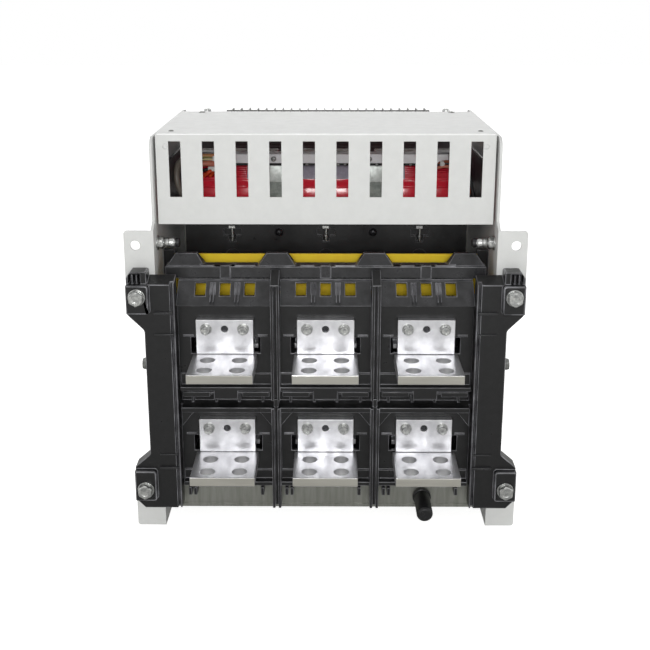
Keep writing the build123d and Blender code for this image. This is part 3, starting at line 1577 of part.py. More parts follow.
# Build and write every sub-part
right_plate = side_plate()
right_frame = end_frame()
nodes = {
    "side_plate_right": right_plate,
    "side_plate_left": flipped(right_plate),
    "floor_pan": floor_pan(),
    "rear_beam": rear_beam(),
    "stiffeners": both_sides(stiffener()),
    "side_screws": group([side_bolts(), cover_screws()]),
    "upper_terminal_base": upper_terminal_base(),
    "lower_terminal_base": lower_terminal_base(),
    "contact_guards": group([contact_guard(0), contact_guard(base_step)]),
    "upper_jaw_contacts": jaw_contacts(0),
    "lower_jaw_contacts": jaw_contacts(base_step),
    "upper_terminals": group(terminal(x, 0) for x in poles),
    "lower_terminals": group(terminal(x, base_step) for x in poles),
    "terminal_bolts": terminal_bolts(),
    "end_frame_right": right_frame,
    "end_frame_left": flipped(right_frame),
    "frame_bolts": frame_bolts(),
    "terminal_hood": terminal_hood(),
    "upper_shutter": shutter(upper_shutter_low, upper_shutter_high),
    "lower_shutter": shutter(lower_shutter_low, lower_shutter_high),
    "shutter_guides": shutter_guides(),
    "fixed_rails": both_sides(fixed_rail()),
    "sliding_rail_right": sliding_rail(),
    "sliding_rail_left": flipped(sliding_rail()),
    "racking_beam": racking_beam(),
    "racking_screw": racking_screw(),
    "screw_bearings": screw_bearings(),
    "crank_sleeve": crank_sleeve(),
    "racking_crank": racking_crank(),
    "front_sill": front_sill(),
    "padlock_tab": padlock_tab(),
    "arc_cover": arc_cover(),
    "guide_studs": guide_studs(),
    "top_crossbar": top_crossbar(),
    "secondary_connector": secondary_connector(),
    "rear_casing": rear_casing(),
    "front_casing": front_casing(),
    "casing_fasteners": group([casing_bolts(), chute_screws()]),
    "breaker_side_plates": breaker_side_plates(),
    "upper_stabs": stabs(0),
    "lower_stabs": stabs(base_step),
    "chute_clamp": group([clamp_bar(), chute_brackets()]),
    "wiring": wiring(),
    "moving_contacts": moving_contacts(),
    "main_shaft": main_shaft(),
    "mechanism_frame": mechanism_frame(),
    "closing_spring": closing_spring(),
    "front_cover": front_cover(),
    "control_brackets": group([button_carrier(), handle_bracket()]),
    "on_button": button(on_button_z),
    "off_button": button(off_button_z),
    "state_flag": flag(flag_z),
    "charge_flag": flag(flag_z + 36),
    "charging_handle": charging_handle(),
    "trip_unit": trip_unit(),
    "reset_button": reset_button(),
    "trip_window": trip_window(),
}
for n, x in enumerate(poles, start=1):
    nodes[f"arc_chute_{n}"] = arc_chute(x)

for name, shape in nodes.items():
    save(name, shape)
print(len(nodes), "sub-parts written")
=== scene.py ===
import json
import math

import bmesh
import bpy
import numpy as np
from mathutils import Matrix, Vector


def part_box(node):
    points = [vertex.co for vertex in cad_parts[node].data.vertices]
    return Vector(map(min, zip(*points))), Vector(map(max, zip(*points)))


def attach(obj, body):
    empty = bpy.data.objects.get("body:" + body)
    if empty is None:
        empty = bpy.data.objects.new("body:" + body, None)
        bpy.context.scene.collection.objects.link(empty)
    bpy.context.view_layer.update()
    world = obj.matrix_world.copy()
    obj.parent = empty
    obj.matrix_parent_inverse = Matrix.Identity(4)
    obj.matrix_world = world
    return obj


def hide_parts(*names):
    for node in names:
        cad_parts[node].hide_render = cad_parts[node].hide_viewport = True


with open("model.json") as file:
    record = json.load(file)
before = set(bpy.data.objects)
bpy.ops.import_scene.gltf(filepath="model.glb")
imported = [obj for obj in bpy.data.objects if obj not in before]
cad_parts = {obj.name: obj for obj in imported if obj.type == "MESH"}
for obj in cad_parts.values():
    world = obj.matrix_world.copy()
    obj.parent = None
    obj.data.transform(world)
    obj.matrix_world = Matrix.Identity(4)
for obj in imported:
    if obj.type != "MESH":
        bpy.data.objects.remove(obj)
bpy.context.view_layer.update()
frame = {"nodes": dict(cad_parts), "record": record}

# %% [markdown]
# # A draw-out air circuit breaker, seen from its terminals
# A switchboard breaker of this kind is a steel cradle with a breaker that slides inside it.
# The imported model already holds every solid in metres, so a piece goes where the solids say.
# This file dresses those solids: finishes first, then the pieces that need finer shapes.

# %% sizes used all through
MM = 0.001
nodes = frame["nodes"]
slot_of = {part["node"]: part["material_slot"] for part in frame["record"]["subparts"]}
body_of = {n: body for body, members in frame["record"]["behaviour"]["bodies"].items() for n in members}


# %% [markdown]
# ## Camera
# The photograph was taken from straight behind the breaker, a little above it, with the
# uprights kept parallel by a shifted lens. A long shift would crop the other views, so most of
# it is given back as a gentle downward tilt, fitted to sixty marked points of the picture.

# %% camera
photo_px = 650
focal_px = 983.9
camera_place = (4.7 * MM, -1033.1 * MM, 518.6 * MM)
tilt_down_deg = 14.64
turn_deg = 0.34
lens_shift_y = -0.12

camera_data = bpy.data.cameras.new("camera")
camera_data.sensor_width = 36.0
camera_data.lens = focal_px / photo_px * camera_data.sensor_width
camera_data.shift_y = lens_shift_y
camera = bpy.data.objects.new("camera", camera_data)
camera.location = camera_place
camera.rotation_euler = (math.radians(90 - tilt_down_deg), 0, math.radians(turn_deg))
bpy.context.scene.collection.objects.link(camera)
bpy.context.scene.camera = camera
print("lens", round(camera_data.lens, 2), "mm")


# %% [markdown]
# ## Light and floor
# A catalogue photograph is lit by wide soft panels, so that sheet metal shows no hard glare.
# One large panel above, one low panel behind the camera, one at each side and one facing the
# operator's side do the same here. A small panel just over the camera shines in through the
# cover's slots, so that the red chutes behind them show.
# The floor and the world are white only for camera, glossy and see-through rays, so they look
# like a paper sweep and add no light of their own.

# %% scene helpers
def linear(hex_colour):
    """sRGB hex to linear RGBA: c / 12.92 up to 0.04045, else ((c + 0.055) / 1.055) ** 2.4."""
    c = np.array([int(hex_colour[n:n + 2], 16) for n in (1, 3, 5)]) / 255
    c = np.where(c <= 0.04045, c / 12.92, ((c + 0.055) / 1.055) ** 2.4)
    return (*(float(v) for v in c), 1.0)


def add_node(tree, kind, inputs=None, **settings):
    """Add a shader node, give it its settings, and fill or link its inputs by name or number."""
    node = tree.nodes.new(kind)
    for name, value in settings.items():
        setattr(node, name, value)
    for key, value in (inputs or {}).items():
        if isinstance(value, bpy.types.NodeSocket):
            tree.links.new(value, node.inputs[key])
        else:
            node.inputs[key].default_value = value
    return node


def soft_panel(name, place, target, width, height, watts):
    """Area lamp at place, turned so that its face looks at target."""
    data = bpy.data.lights.new(name, "AREA")
    data.shape = "RECTANGLE"
    data.size = width
    data.size_y = height
    data.energy = watts
    lamp = bpy.data.objects.new(name, data)
    lamp.location = place
    away = np.array(target, float) - np.array(place, float)
    flat = math.hypot(away[0], away[1])
    lamp.rotation_euler = (math.pi / 2 + math.atan2(away[2], flat), 0,
                           math.atan2(away[1], away[0]) - math.pi / 2)
    bpy.context.scene.collection.objects.link(lamp)
    return lamp


# %% lamps
object_middle = (0, 0, 0.2)
soft_panel("panel_above", (0.0, -0.35, 1.7), object_middle, 1.1, 0.8, 1.2)
soft_panel("panel_behind_camera", (0.25, -2.4, 0.75), object_middle, 2.2, 1.5, 7.4)
soft_panel("panel_over_camera", (0.0, -1.9, 0.76), (0, 0, 0.3), 0.55, 0.35, 11)
soft_panel("panel_left", (-2.0, 0.2, 0.8), object_middle, 1.2, 1.2, 6)
soft_panel("panel_right", (2.0, 0.2, 0.8), object_middle, 1.2, 1.2, 6)
soft_panel("panel_front", (0.0, 2.3, 1.0), object_middle, 2.0, 1.4, 10)

# %% world and floor
world_light, paper_glow = 0.45, 0.8
world = bpy.data.worlds.new("paper_sweep")
bpy.context.scene.world = world
world.use_nodes = True
tree = world.node_tree
tree.nodes.clear()
path = add_node(tree, "ShaderNodeLightPath")
seen = add_node(tree, "ShaderNodeMath", {0: path.outputs["Is Camera Ray"],
                                         1: path.outputs["Is Transmission Ray"]}, operation="MAXIMUM")
seen = add_node(tree, "ShaderNodeMath", {0: seen.outputs[0],
                                         1: path.outputs["Is Glossy Ray"]}, operation="MAXIMUM")
dim = add_node(tree, "ShaderNodeBackground", {"Color": (1, 1, 1, 1), "Strength": world_light})
white = add_node(tree, "ShaderNodeBackground", {"Color": (1, 1, 1, 1), "Strength": 1.0})
mix = add_node(tree, "ShaderNodeMixShader", {0: seen.outputs[0], 1: dim.outputs[0], 2: white.outputs[0]})
add_node(tree, "ShaderNodeOutputWorld", {"Surface": mix.outputs[0]})

floor_half = 6.0
floor_mesh = bpy.data.meshes.new("floor")
floor_mesh.from_pydata([(-floor_half, -floor_half, 0), (floor_half, -floor_half, 0),
                        (floor_half, floor_half, 0), (-floor_half, floor_half, 0)], [], [(0, 1, 2, 3)])
floor = bpy.data.objects.new("floor", floor_mesh)
bpy.context.scene.collection.objects.link(floor)
paper = bpy.data.materials.new("white_paper_sweep")
paper.use_nodes = True
tree = paper.node_tree
tree.nodes.clear()
path = add_node(tree, "ShaderNodeLightPath")
matt = add_node(tree, "ShaderNodeBsdfDiffuse", {"Color": linear("#EDEDEB")})
glow = add_node(tree, "ShaderNodeEmission", {"Color": (1, 1, 1, 1), "Strength": paper_glow})
both = add_node(tree, "ShaderNodeAddShader", {0: matt.outputs[0], 1: glow.outputs[0]})
mix = add_node(tree, "ShaderNodeMixShader",
               {0: path.outputs["Is Camera Ray"], 1: matt.outputs[0], 2: both.outputs[0]})
add_node(tree, "ShaderNodeOutputMaterial", {"Surface": mix.outputs[0]})
floor_mesh.materials.append(paper)

# %% [markdown]
# ## Finishes
# Each finish is one Principled surface. Its colour, roughness and small relief come from noise
# on Object coordinates, which are metres on the real object, so a grain of half a millimetre
# is half a millimetre everywhere. Edges are softened by a bevel lookup, since pressed sheet
# and mouldings never have a sharp corner.

# %% a general finish
MIX_FACTOR, MIX_A, MIX_B, MIX_OUT = 0, 6, 7, 2


def noise(tree, place, grain_mm, detail=3.0, stretch=(1, 1, 1), roughness=0.55):
    """Noise with a grain of the given size; stretch above 1 shortens it along that axis."""
    spread = add_node(tree, "ShaderNodeMapping", {"Vector": place.outputs["Object"], "Scale": stretch})
    return add_node(tree, "ShaderNodeTexNoise",
                    {"Vector": spread.outputs[0], "Scale": 1 / (grain_mm * MM), "Detail": detail,
                     "Roughness": roughness})


def finish(name, light, dark, grain_mm, roughness=(0.4, 0.5), relief_mm=0.02, metallic=0.0,
           stretch=(1, 1, 1), fine_mm=None, edge=0.4, painted_edge_highlight=None, coat=0.0, ior=1.5,
           alpha=1.0, detail=4.0):
    """A material whose colour runs between two hex colours over a noise of one grain size."""
    made = bpy.data.materials.new(name)
    made.use_nodes = True
    tree = made.node_tree
    tree.nodes.clear()
    place = add_node(tree, "ShaderNodeTexCoord")
    cloud = noise(tree, place, grain_mm, detail, stretch)
    level = add_node(tree, "ShaderNodeMapRange", {"Value": cloud.outputs[0], "From Min": 0.32,
                                                  "From Max": 0.68, "To Min": 0.0, "To Max": 1.0})
    colour = add_node(tree, "ShaderNodeMix", {MIX_FACTOR: level.outputs[0], MIX_A: linear(dark),
                                              MIX_B: linear(light)}, data_type="RGBA")
    rough = add_node(tree, "ShaderNodeMapRange",
                     {"Value": cloud.outputs[0], "From Min": 0.3, "From Max": 0.7,
                      "To Min": roughness[1], "To Max": roughness[0]})
    fine = noise(tree, place, fine_mm or grain_mm, 2.0, stretch)
    bevel = add_node(tree, "ShaderNodeBevel", {"Radius": edge * MM}, samples=4)
    bump = add_node(tree, "ShaderNodeBump", {"Height": fine.outputs[0], "Distance": relief_mm * MM,
                                             "Normal": bevel.outputs[0], "Strength": 1.0})
    colour_out = colour.outputs[MIX_OUT]
    # A given edge colour is mixed in where the bevel normal turns away from the face's normal: a painted
    # highlight along every edge.
    if painted_edge_highlight:
        true = add_node(tree, "ShaderNodeNewGeometry")
        same = add_node(tree, "ShaderNodeVectorMath", {0: bevel.outputs[0], 1: true.outputs["Normal"]},
                        operation="DOT_PRODUCT")
        edge_highlight_mask = add_node(tree, "ShaderNodeMapRange",
                        {"Value": same.outputs["Value"], "From Min": 0.97, "From Max": 0.8,
                         "To Min": 0.0, "To Max": 0.55})
        edge_mix = add_node(tree, "ShaderNodeMix", {MIX_FACTOR: edge_highlight_mask.outputs[0], MIX_A: colour_out,
                                                    MIX_B: linear(painted_edge_highlight)}, data_type="RGBA")
        colour_out = edge_mix.outputs[MIX_OUT]
    shader = add_node(tree, "ShaderNodeBsdfPrincipled",
                      {"Base Color": colour_out, "Roughness": rough.outputs[0],
                       "Metallic": metallic, "Normal": bump.outputs[0], "Coat Weight": coat,
                       "Alpha": alpha})
    if not metallic:
        shader.inputs["IOR"].default_value = ior
    add_node(tree, "ShaderNodeOutputMaterial", {"Surface": shader.outputs[0]})
    return made


# %% finishes of the real materials
# The edge colours given here are painted highlights along every edge: white on the powder coat, pale grey
# on the black moulding.
powder_coat = finish("powder_coated_steel_light_grey", "#D9DAD8", "#D5D6D4", 9.0, (0.42, 0.5), 0.012,
                     fine_mm=0.9, edge=0.7, painted_edge_highlight="#FFFFFF")
galvanised = finish("galvanised_sheet", "#93948E", "#7E7F78", 5.0, (0.38, 0.55), 0.02, metallic=0.85,
                    stretch=(1, 1, 0.12), fine_mm=1.5, edge=0.4)
bright_zinc = finish("bright_zinc_plate", "#BFC0BD", "#858686", 3.0, (0.24, 0.38), 0.006, metallic=1.0,
                     fine_mm=0.8, edge=0.3)
moulding = finish("black_moulding_compound", "#19191A", "#0E0E0F", 11.0, (0.27, 0.42), 0.04,
                  fine_mm=1.8, edge=0.8, painted_edge_highlight="#9A9A9D", ior=1.4)
silver = finish("silver_plated_copper", "#D4D4D6", "#BEBEC1", 9.0, (0.3, 0.42), 0.004, metallic=0.9,
                stretch=(1, 0.35, 1), fine_mm=0.7, edge=0.3)
sawn_end_and_shade = finish("silver_plated_sawn_end_and_painted_shade", "#A8A69E", "#99978F", 6.0, (0.35, 0.5), 0.03, metallic=0.55,
                 stretch=(0.1, 1, 1), fine_mm=1.0, edge=0.2)
yellow = finish("yellow_abs", "#FFDF38", "#FBD42E", 12.0, (0.3, 0.42), 0.01, fine_mm=1.2, edge=0.4)
red = finish("red_moulding_compound", "#C01C30", "#A01226", 8.0, (0.16, 0.26), 0.02, fine_mm=2.5,
             edge=0.8, coat=0.3)
grey_abs = finish("light_grey_abs", "#CBCCC9", "#C3C4C1", 10.0, (0.42, 0.5), 0.015, fine_mm=0.7, edge=0.6)
green = finish("green_abs", "#1D7A3C", "#176932", 6.0, (0.3, 0.4), 0.01, fine_mm=0.8, edge=0.5)
clear = finish("clear_polycarbonate", "#DDE4E6", "#D5DDE0", 10.0, (0.06, 0.1), 0.0, edge=0.3, alpha=0.12)
sheath = finish("pvc_wire_sheath", "#2A2A2C", "#1C1C1D", 6.0, (0.35, 0.45), 0.01, fine_mm=1.0, edge=0.2)
finish_of_slot = {"grey_enamel": powder_coat, "zinc_steel": bright_zinc, "black_moulding": moulding,
                  "silver_plate": silver, "yellow_plastic": yellow, "red_moulding": red,
                  "grey_plastic": grey_abs, "green_plastic": green, "clear_plastic": clear,
                  "wire_sheath": sheath}
finish_of_node = {"rear_beam": galvanised, "floor_pan": galvanised, "breaker_side_plates": galvanised}

# %% put them on the solids
for name, solid in nodes.items():
    chosen = finish_of_node.get(name, finish_of_slot[slot_of[name]])
    solid.data.materials.clear()
    solid.data.materials.append(chosen)
print("finishes on", len(nodes), "solids")

# %% [markdown]
# ## Making pieces from formulas
# Every new piece below is a grid of points worked out by a formula in two numbers, or a profile
# carried round or along something. The helpers keep the work in millimetres, as the real
# drawing would be, and turn it into metres only when the mesh is made.

# %% helpers for pieces
bevel_corner_deg = 40.0


def grid_faces(rows, columns, wrap_rows=False, wrap_columns=False):
    """Quads between the points of a grid numbered row by row, joined round where it wraps."""
    r = np.arange(rows if wrap_rows else rows - 1)[:, None]
    c = np.arange(columns if wrap_columns else columns - 1)[None, :]
    r2, c2 = (r + 1) % rows, (c + 1) % columns
    quads = np.stack([r * columns + c, r * columns + c2, r2 * columns + c2, r2 * columns + c], -1)
    return quads.reshape(-1, 4).tolist()


def surface(points, wrap_rows=False, wrap_columns=True, caps=True):
    """Shape from a (rows, columns, 3) array; caps close its first and last row."""
    rows, columns = points.shape[:2]
    faces = grid_faces(rows, columns, wrap_rows, wrap_columns)
    if caps and not wrap_rows:
        faces.append(list(range(columns))[::-1])
        faces.append(list(range((rows - 1) * columns, rows * columns)))
    return points.reshape(-1, 3), faces


def merged(shapes):
    """One shape out of several: points stacked, face numbers moved up to match."""
    points, faces, start = [], [], 0
    for verts, polygons in shapes:
        points.append(np.asarray(verts, float))
        faces += [[v + start for v in face] for face in polygons]
        start += len(verts)
    return np.concatenate(points), faces


def make_piece(name, shape, material, body, bevel_mm=0.0, crease_deg=32.0):
    """Mesh object from a shape in millimetres, normals outward, riding on its body."""
    verts, faces = shape
    mesh = bpy.data.meshes.new(name)
    mesh.from_pydata((np.asarray(verts) * MM).tolist(), [], faces)
    work = bmesh.new()
    work.from_mesh(mesh)
    bmesh.ops.remove_doubles(work, verts=work.verts, dist=1e-6)
    bmesh.ops.recalc_face_normals(work, faces=work.faces)
    work.to_mesh(mesh)
    work.free()
    mesh.materials.append(material)
    mesh.shade_smooth()
    mesh.set_sharp_from_angle(angle=math.radians(crease_deg))
    piece = bpy.data.objects.new(name, mesh)
    bpy.context.scene.collection.objects.link(piece)
    if bevel_mm:
        edge = piece.modifiers.new("edges", "BEVEL")
        edge.width = bevel_mm * MM
        edge.segments = 2
        edge.limit_method = "ANGLE"
        edge.angle_limit = math.radians(bevel_corner_deg)
    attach(piece, body)
    print(name, len(mesh.polygons), "faces")
    return piece


def cross_frame(along):
    """Two unit directions square to along, as rows."""
    along = np.asarray(along, float)
    side = np.cross(along, (0, 0, 1) if abs(along[2]) < 0.9 else (1, 0, 0))
    side /= np.linalg.norm(side)
    return side, np.cross(along, side)


def turned(profile, centre, along, sides=28, loop=False):
    """Lathe work: each (radius, station) goes round the axis; point = centre + station * axis
    + radius * (cos a * side + sin a * up). A loop profile gives a ring, else the ends close."""
    side, up = cross_frame(along)
    radius, station = np.array(profile, float).T
    a = np.arange(sides) * 2 * np.pi / sides
    round_part = np.cos(a)[:, None] * side + np.sin(a)[:, None] * up
    points = (np.asarray(centre, float) + station[:, None, None] * np.asarray(along, float)
              + radius[:, None, None] * round_part)
    return surface(points, wrap_rows=loop, caps=not loop)


def hexagon_head(centre, along, flats, low, high, sides=48):
    """Bolt head: the radius is the smaller of a hexagon's and of a cone's that cuts its corners.
    The hexagon's radius is flats / 2 over the cosine of the angle from the nearest flat."""
    side, up = cross_frame(along)
    a = np.arange(sides) * 2 * np.pi / sides
    hexagon = flats / 2 / np.cos((a + np.pi / 6) % (np.pi / 3) - np.pi / 6)
    height = high - low
    station = np.array([low, low + 0.6 * height, low + 0.8 * height, high, high, high - 0.12 * height])
    limit = np.array([1.06, 2.0, 1.1, 0.94, 0.6, 0.5]) * flats / 2
    radius = np.minimum(hexagon[None, :], limit[:, None])
    round_part = np.cos(a)[:, None] * side + np.sin(a)[:, None] * up
    points = (np.asarray(centre, float) + station[:, None, None] * np.asarray(along, float)
              + radius[:, :, None] * round_part)
    return surface(points)


def washer(centre, along, inner, outer, low, high):
    """Flat ring with a small chamfer outside."""
    c = 0.2 * (high - low)
    return turned([(inner, low), (outer, low), (outer, high - c), (outer - c, high), (inner, high)],
                  centre, along, loop=True)


def spring_washer(centre, along, inner, outer, low, high, sides=30):
    """Split ring: a square section carried round 350 degrees while it climbs by a third of itself."""
    side, up = cross_frame(along)
    t = np.linspace(0, 1, sides)
    a = np.radians(5 + 350 * t)
    thick = (high - low) * 0.75
    corner_r = np.array([inner, outer, outer, inner])
    corner_s = np.array([0, 0, thick, thick])
    climb = low + t * (high - low - thick)
    round_part = np.cos(a)[:, None] * side + np.sin(a)[:, None] * up
    points = (np.asarray(centre, float)
              + (climb[:, None] + corner_s[None, :])[:, :, None] * np.asarray(along, float)
              + corner_r[None, :, None] * round_part[:, None, :])
    return surface(points)


def pan_head(centre, along, radius, height, recess=0.6, rings=10, sides=48):
    """Domed screw head with a cross recess: the height falls off with the square of the radius,
    and drops by the recess where either cross coordinate is inside the bit's width."""
    side, up = cross_frame(along)
    a = np.arange(sides) * 2 * np.pi / sides
    r = np.linspace(1, 0.02, rings)[:, None] * radius
    x, y = r * np.cos(a), r * np.sin(a)
    dome = height * (1 - 0.75 * (r / radius) ** 2.6) + 0 * a
    wide, long = 0.13 * radius, 0.62 * radius
    cross = ((abs(x) < wide) & (abs(y) < long)) | ((abs(y) < wide) & (abs(x) < long))
    station = np.concatenate([np.zeros((1, sides)), dome - recess * height * cross])
    x = np.concatenate([x[:1], x])
    y = np.concatenate([y[:1], y])
    points = (np.asarray(centre, float) + station[:, :, None] * np.asarray(along, float)
              + x[:, :, None] * side + y[:, :, None] * up)
    return surface(points)


def slab(low, high):
    """Rectangular block between two corners, for pieces that a bevel then rounds."""
    corner = np.array([[x, y, z] for x in (0, 1) for y in (0, 1) for z in (0, 1)], float)
    verts = np.asarray(low, float) + corner * (np.asarray(high, float) - np.asarray(low, float))
    faces = [[0, 1, 3, 2], [4, 6, 7, 5], [0, 4, 5, 1], [2, 3, 7, 6], [0, 2, 6, 4], [1, 5, 7, 3]]
    return verts, faces


def carried(outline, axis, low, high):
    """A flat outline carried straight along an axis: x takes (y, z), y takes (x, z), z takes (x, y)."""
    flat = np.asarray(outline, float)
    order = {"x": (2, 0, 1), "y": (0, 2, 1), "z": (0, 1, 2)}[axis]
    ends = [np.column_stack([flat, np.full(len(flat), level)]) for level in (low, high)]
    return surface(np.stack(ends)[:, :, order])


# %% [markdown]
# ## Fasteners
# Hexagon bolts, split spring washers and flat washers hold the terminals and end frames. Real
# heads have their corners cut by a cone, which is what makes them sparkle, so the head is a
# formula rather than a six-sided block. All are bright zinc, a little clouded by handling.

# %% places of the repeated pieces
BACK, FRONT, UP = (0.0, -1.0, 0.0), (0.0, 1.0, 0.0), (0.0, 0.0, 1.0)
pole_x = (-95.0, 0.0, 95.0)
row_drop = (0.0, 101.0)
leg_face_y = -158.0
leg_bolt_x, leg_bolt_z = 17.5, 210.0
ear_face_y = -172.0
ear_bolt_x, ear_bolt_z = 173.5, (245.4, 50.8)

# %% terminal bolts
shapes = []
for drop in row_drop:
    for x in pole_x:
        for side in (-1, 1):
            at = (x + side * leg_bolt_x, leg_face_y, leg_bolt_z - drop)
            shapes += [washer(at, BACK, 3.1, 5.5, 0.0, 1.0),
                       spring_washer(at, BACK, 3.1, 4.8, 1.0, 2.4),
                       hexagon_head(at, BACK, 8.0, 2.4, 6.4),
                       turned([(3.0, 2.4), (3.0, -18.8)], at, BACK, sides=16)]
bolts = make_piece("terminal_hexagon_bolts", merged(shapes), bright_zinc, "cradle")
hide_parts("terminal_bolts")

# %% end frame bolts
shapes = []
for x in (-ear_bolt_x, ear_bolt_x):
    for z in ear_bolt_z:
        at = (x, ear_face_y, z)
        shapes += [washer(at, BACK, 4.1, 8.0, 0.0, 1.6),
                   spring_washer(at, BACK, 4.1, 6.6, 1.6, 3.4),
                   hexagon_head(at, BACK, 13.0, 3.4, 7.1),
                   turned([(4.0, 3.4), (4.0, -32.5)], at, BACK, sides=16),
                   hexagon_head(at, FRONT, 13.0, 24.5, 31.0)]
bolts = make_piece("end_frame_bolts", merged(shapes), bright_zinc, "cradle")
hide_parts("frame_bolts")

# %% side and cover screws
side_bolt = (174.0, -112.0, 157.5)
cover_side_screw, cover_edge_screw = (162.0, -119.0, 381.0), (134.5, 32.0, 390.7)
shapes = []
for side in (-1.0, 1.0):
    out = (side, 0.0, 0.0)
    at = (side * side_bolt[0], *side_bolt[1:])
    shapes += [washer(at, out, 3.1, 6.5, 0.0, 1.2), hexagon_head(at, out, 11.0, 1.2, 8.4),
               turned([(3.0, 1.2), (3.0, -16.5)], at, out, sides=16)]
    at = (side * cover_side_screw[0], *cover_side_screw[1:])
    shapes += [pan_head(at, out, 3.6, 1.8), turned([(1.9, 0.2), (1.9, -10.0)], at, out, sides=12)]
    at = (side * cover_edge_screw[0], *cover_edge_screw[1:])
    shapes += [pan_head(at, UP, 3.6, 1.2), turned([(1.8, 0.2), (1.8, -8.0)], at, UP, sides=12)]
dull_plate = finish("dull_zinc_plate", "#8F908D", "#5E5F5E", 3.0, (0.3, 0.42), 0.01, metallic=1.0,
                    fine_mm=0.8)
screws = make_piece("side_and_cover_screws", merged(shapes), dull_plate, "cradle")
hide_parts("side_screws")

# %% guide studs
stud_y, stud_z, plate_inner = -132.0, 287.5, 159.5
shapes, caps = [], []
for side in (-1.0, 1.0):
    inward = (-side, 0.0, 0.0)
    at = (side * plate_inner, stud_y, stud_z)
    shapes += [washer(at, inward, 3.5, 7.0, 0.0, 1.5), hexagon_head(at, inward, 11.0, 1.5, 6.5),
               turned([(3.5, 0.0), (3.5, 17.4)], at, inward, sides=18),
               turned([(3.4, 7.0), (4.6, 7.3), (5.0, 8.0), (5.0, 11.0), (4.4, 11.6), (5.0, 12.2),
                       (5.0, 16.2), (4.5, 17.0), (3.4, 17.0)], at, inward, loop=True)]
    caps.append(turned([(4.0, 17.5), (4.4, 18.0), (4.4, 20.6), (3.4, 21.5)], at, inward))
studs = make_piece("guide_stud_rollers", merged(shapes), bright_zinc, "cradle")
make_piece("guide_stud_caps", merged(caps), moulding, "cradle")
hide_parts("guide_studs")

# %% casing fasteners
casing_y = -64.0
black_oxide = finish("black_oxide_steel", "#48484A", "#2B2B2D", 3.0, (0.28, 0.42), 0.01, metallic=0.8,
                     fine_mm=0.8)
shapes = []
for x in (-47.5, 47.5):
    for z in (110.0, 281.0):
        shapes.append(pan_head((x, casing_y, z), BACK, 4.2, 3.6, recess=0.45))
tie_bolts = make_piece("casing_tie_bolts", merged(shapes), black_oxide, "breaker")
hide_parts("casing_fasteners")
shapes = []
for x in pole_x:
    shapes += [slab((x - 5.0, casing_y + 0.4, 284.6), (x + 2.8, casing_y + 3.0, 287.4)),
               turned([(1.0, 271.3), (1.4, 271.8), (1.4, 285.0), (1.0, 285.4)],
                      (x, casing_y + 0.2, 0), UP, sides=14),
               turned([(2.2, 275.2), (2.6, 275.6), (2.6, 277.6), (2.2, 278.0)],
                      (x, casing_y + 1.2, 0), UP, sides=14)]
make_piece("chute_latch_screws", merged(shapes), bright_zinc, "breaker")

# %% [markdown]
# ## Softened copies of the solids
# Pressed, cast and moulded pieces have no sharp corner, and the thin bright line along each edge
# is what tells the eye how they were made. The solid itself is left alone. A copy has its loose
# triangles merged and its flat faces joined, and a Bevel modifier then rounds every edge by the
# radius that such a piece has: half a millimetre on a moulding, less on a machined bar.

# %% copies with rounded edges
def softened(node, radius_mm, material, segments=2, crease_deg=34.0, edge_material=None):
    """Stand-in for a node: its own shape with every corner sharper than 34 degrees rounded.
    The faces that the rounding adds can have a lighter finish of their own, a painted highlight."""
    mesh = nodes[node].data.copy()
    mesh.name = node + "_softened"
    work = bmesh.new()
    work.from_mesh(mesh)
    bmesh.ops.remove_doubles(work, verts=work.verts, dist=1e-6)
    bmesh.ops.dissolve_limit(work, angle_limit=math.radians(0.5), verts=work.verts, edges=work.edges)
    work.to_mesh(mesh)
    work.free()
    mesh.materials.clear()
    mesh.materials.append(material)
    if edge_material:
        mesh.materials.append(edge_material)
    mesh.shade_smooth()
    piece = bpy.data.objects.new(node + "_softened", mesh)
    bpy.context.scene.collection.objects.link(piece)
    edge = piece.modifiers.new("rounded", "BEVEL")
    edge.width = radius_mm * MM
    edge.segments = segments
    edge.limit_method = "ANGLE"
    edge.angle_limit = math.radians(crease_deg)
    edge.use_clamp_overlap = False
    edge.material = 1 if edge_material else -1
    piece.modifiers.new("flat_faces_stay_flat", "WEIGHTED_NORMAL")
    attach(piece, body_of[node])
    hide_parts(node)
    return piece


# A lighter copy of the black moulding for the hood and the end-frame ribs: painted light on the hood's
# slope and a painted highlight on the ribs.
moulding_painted_light = finish("black_moulding_compound_painted_light", "#303032", "#1E1E1F", 9.0, (0.25, 0.4), 0.05,
                       fine_mm=1.2, edge=0.5, ior=1.4)
# A lighter finish for the rounded edges of the mouldings: a painted highlight along them.
edge_highlight_paint = finish("moulding_edge_painted_highlight", "#86868A", "#3C3C3F", 15.0, (0.2, 0.32), 0.01,
                       fine_mm=1.5, edge=0.2)
softened_nodes = {"terminal_hood": (0.6, moulding_painted_light, edge_highlight_paint),
                  "upper_terminal_base": (0.5, moulding, edge_highlight_paint),
                  "lower_terminal_base": (0.5, moulding, edge_highlight_paint),
                  "end_frame_right": (0.7, moulding, edge_highlight_paint),
                  "end_frame_left": (0.7, moulding, edge_highlight_paint),
                  "upper_terminals": (0.5, silver, None), "lower_terminals": (0.5, silver, None)}
for node, (radius_mm, material, edge_material) in softened_nodes.items():
    softened(node, radius_mm, material, edge_material=edge_material)
print(len(softened_nodes), "solids softened")

# %% sawn ends of the terminals
# The end of each bar was sawn before plating, so it is duller and a little beige; its darker colour is
# partly painted shade, for the darker surroundings that it mirrors.
terminal_tip, tip_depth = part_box("upper_terminals")[0][1], 0.2 * MM
for row in ("upper", "lower"):
    mesh = bpy.data.objects[f"{row}_terminals_softened"].data
    mesh.materials.append(sawn_end_and_shade)
    for face in mesh.polygons:
        face.material_index = int(face.center.y < terminal_tip + tip_depth and face.normal.y < -0.9)
print("sawn ends at y", round(terminal_tip, 4))

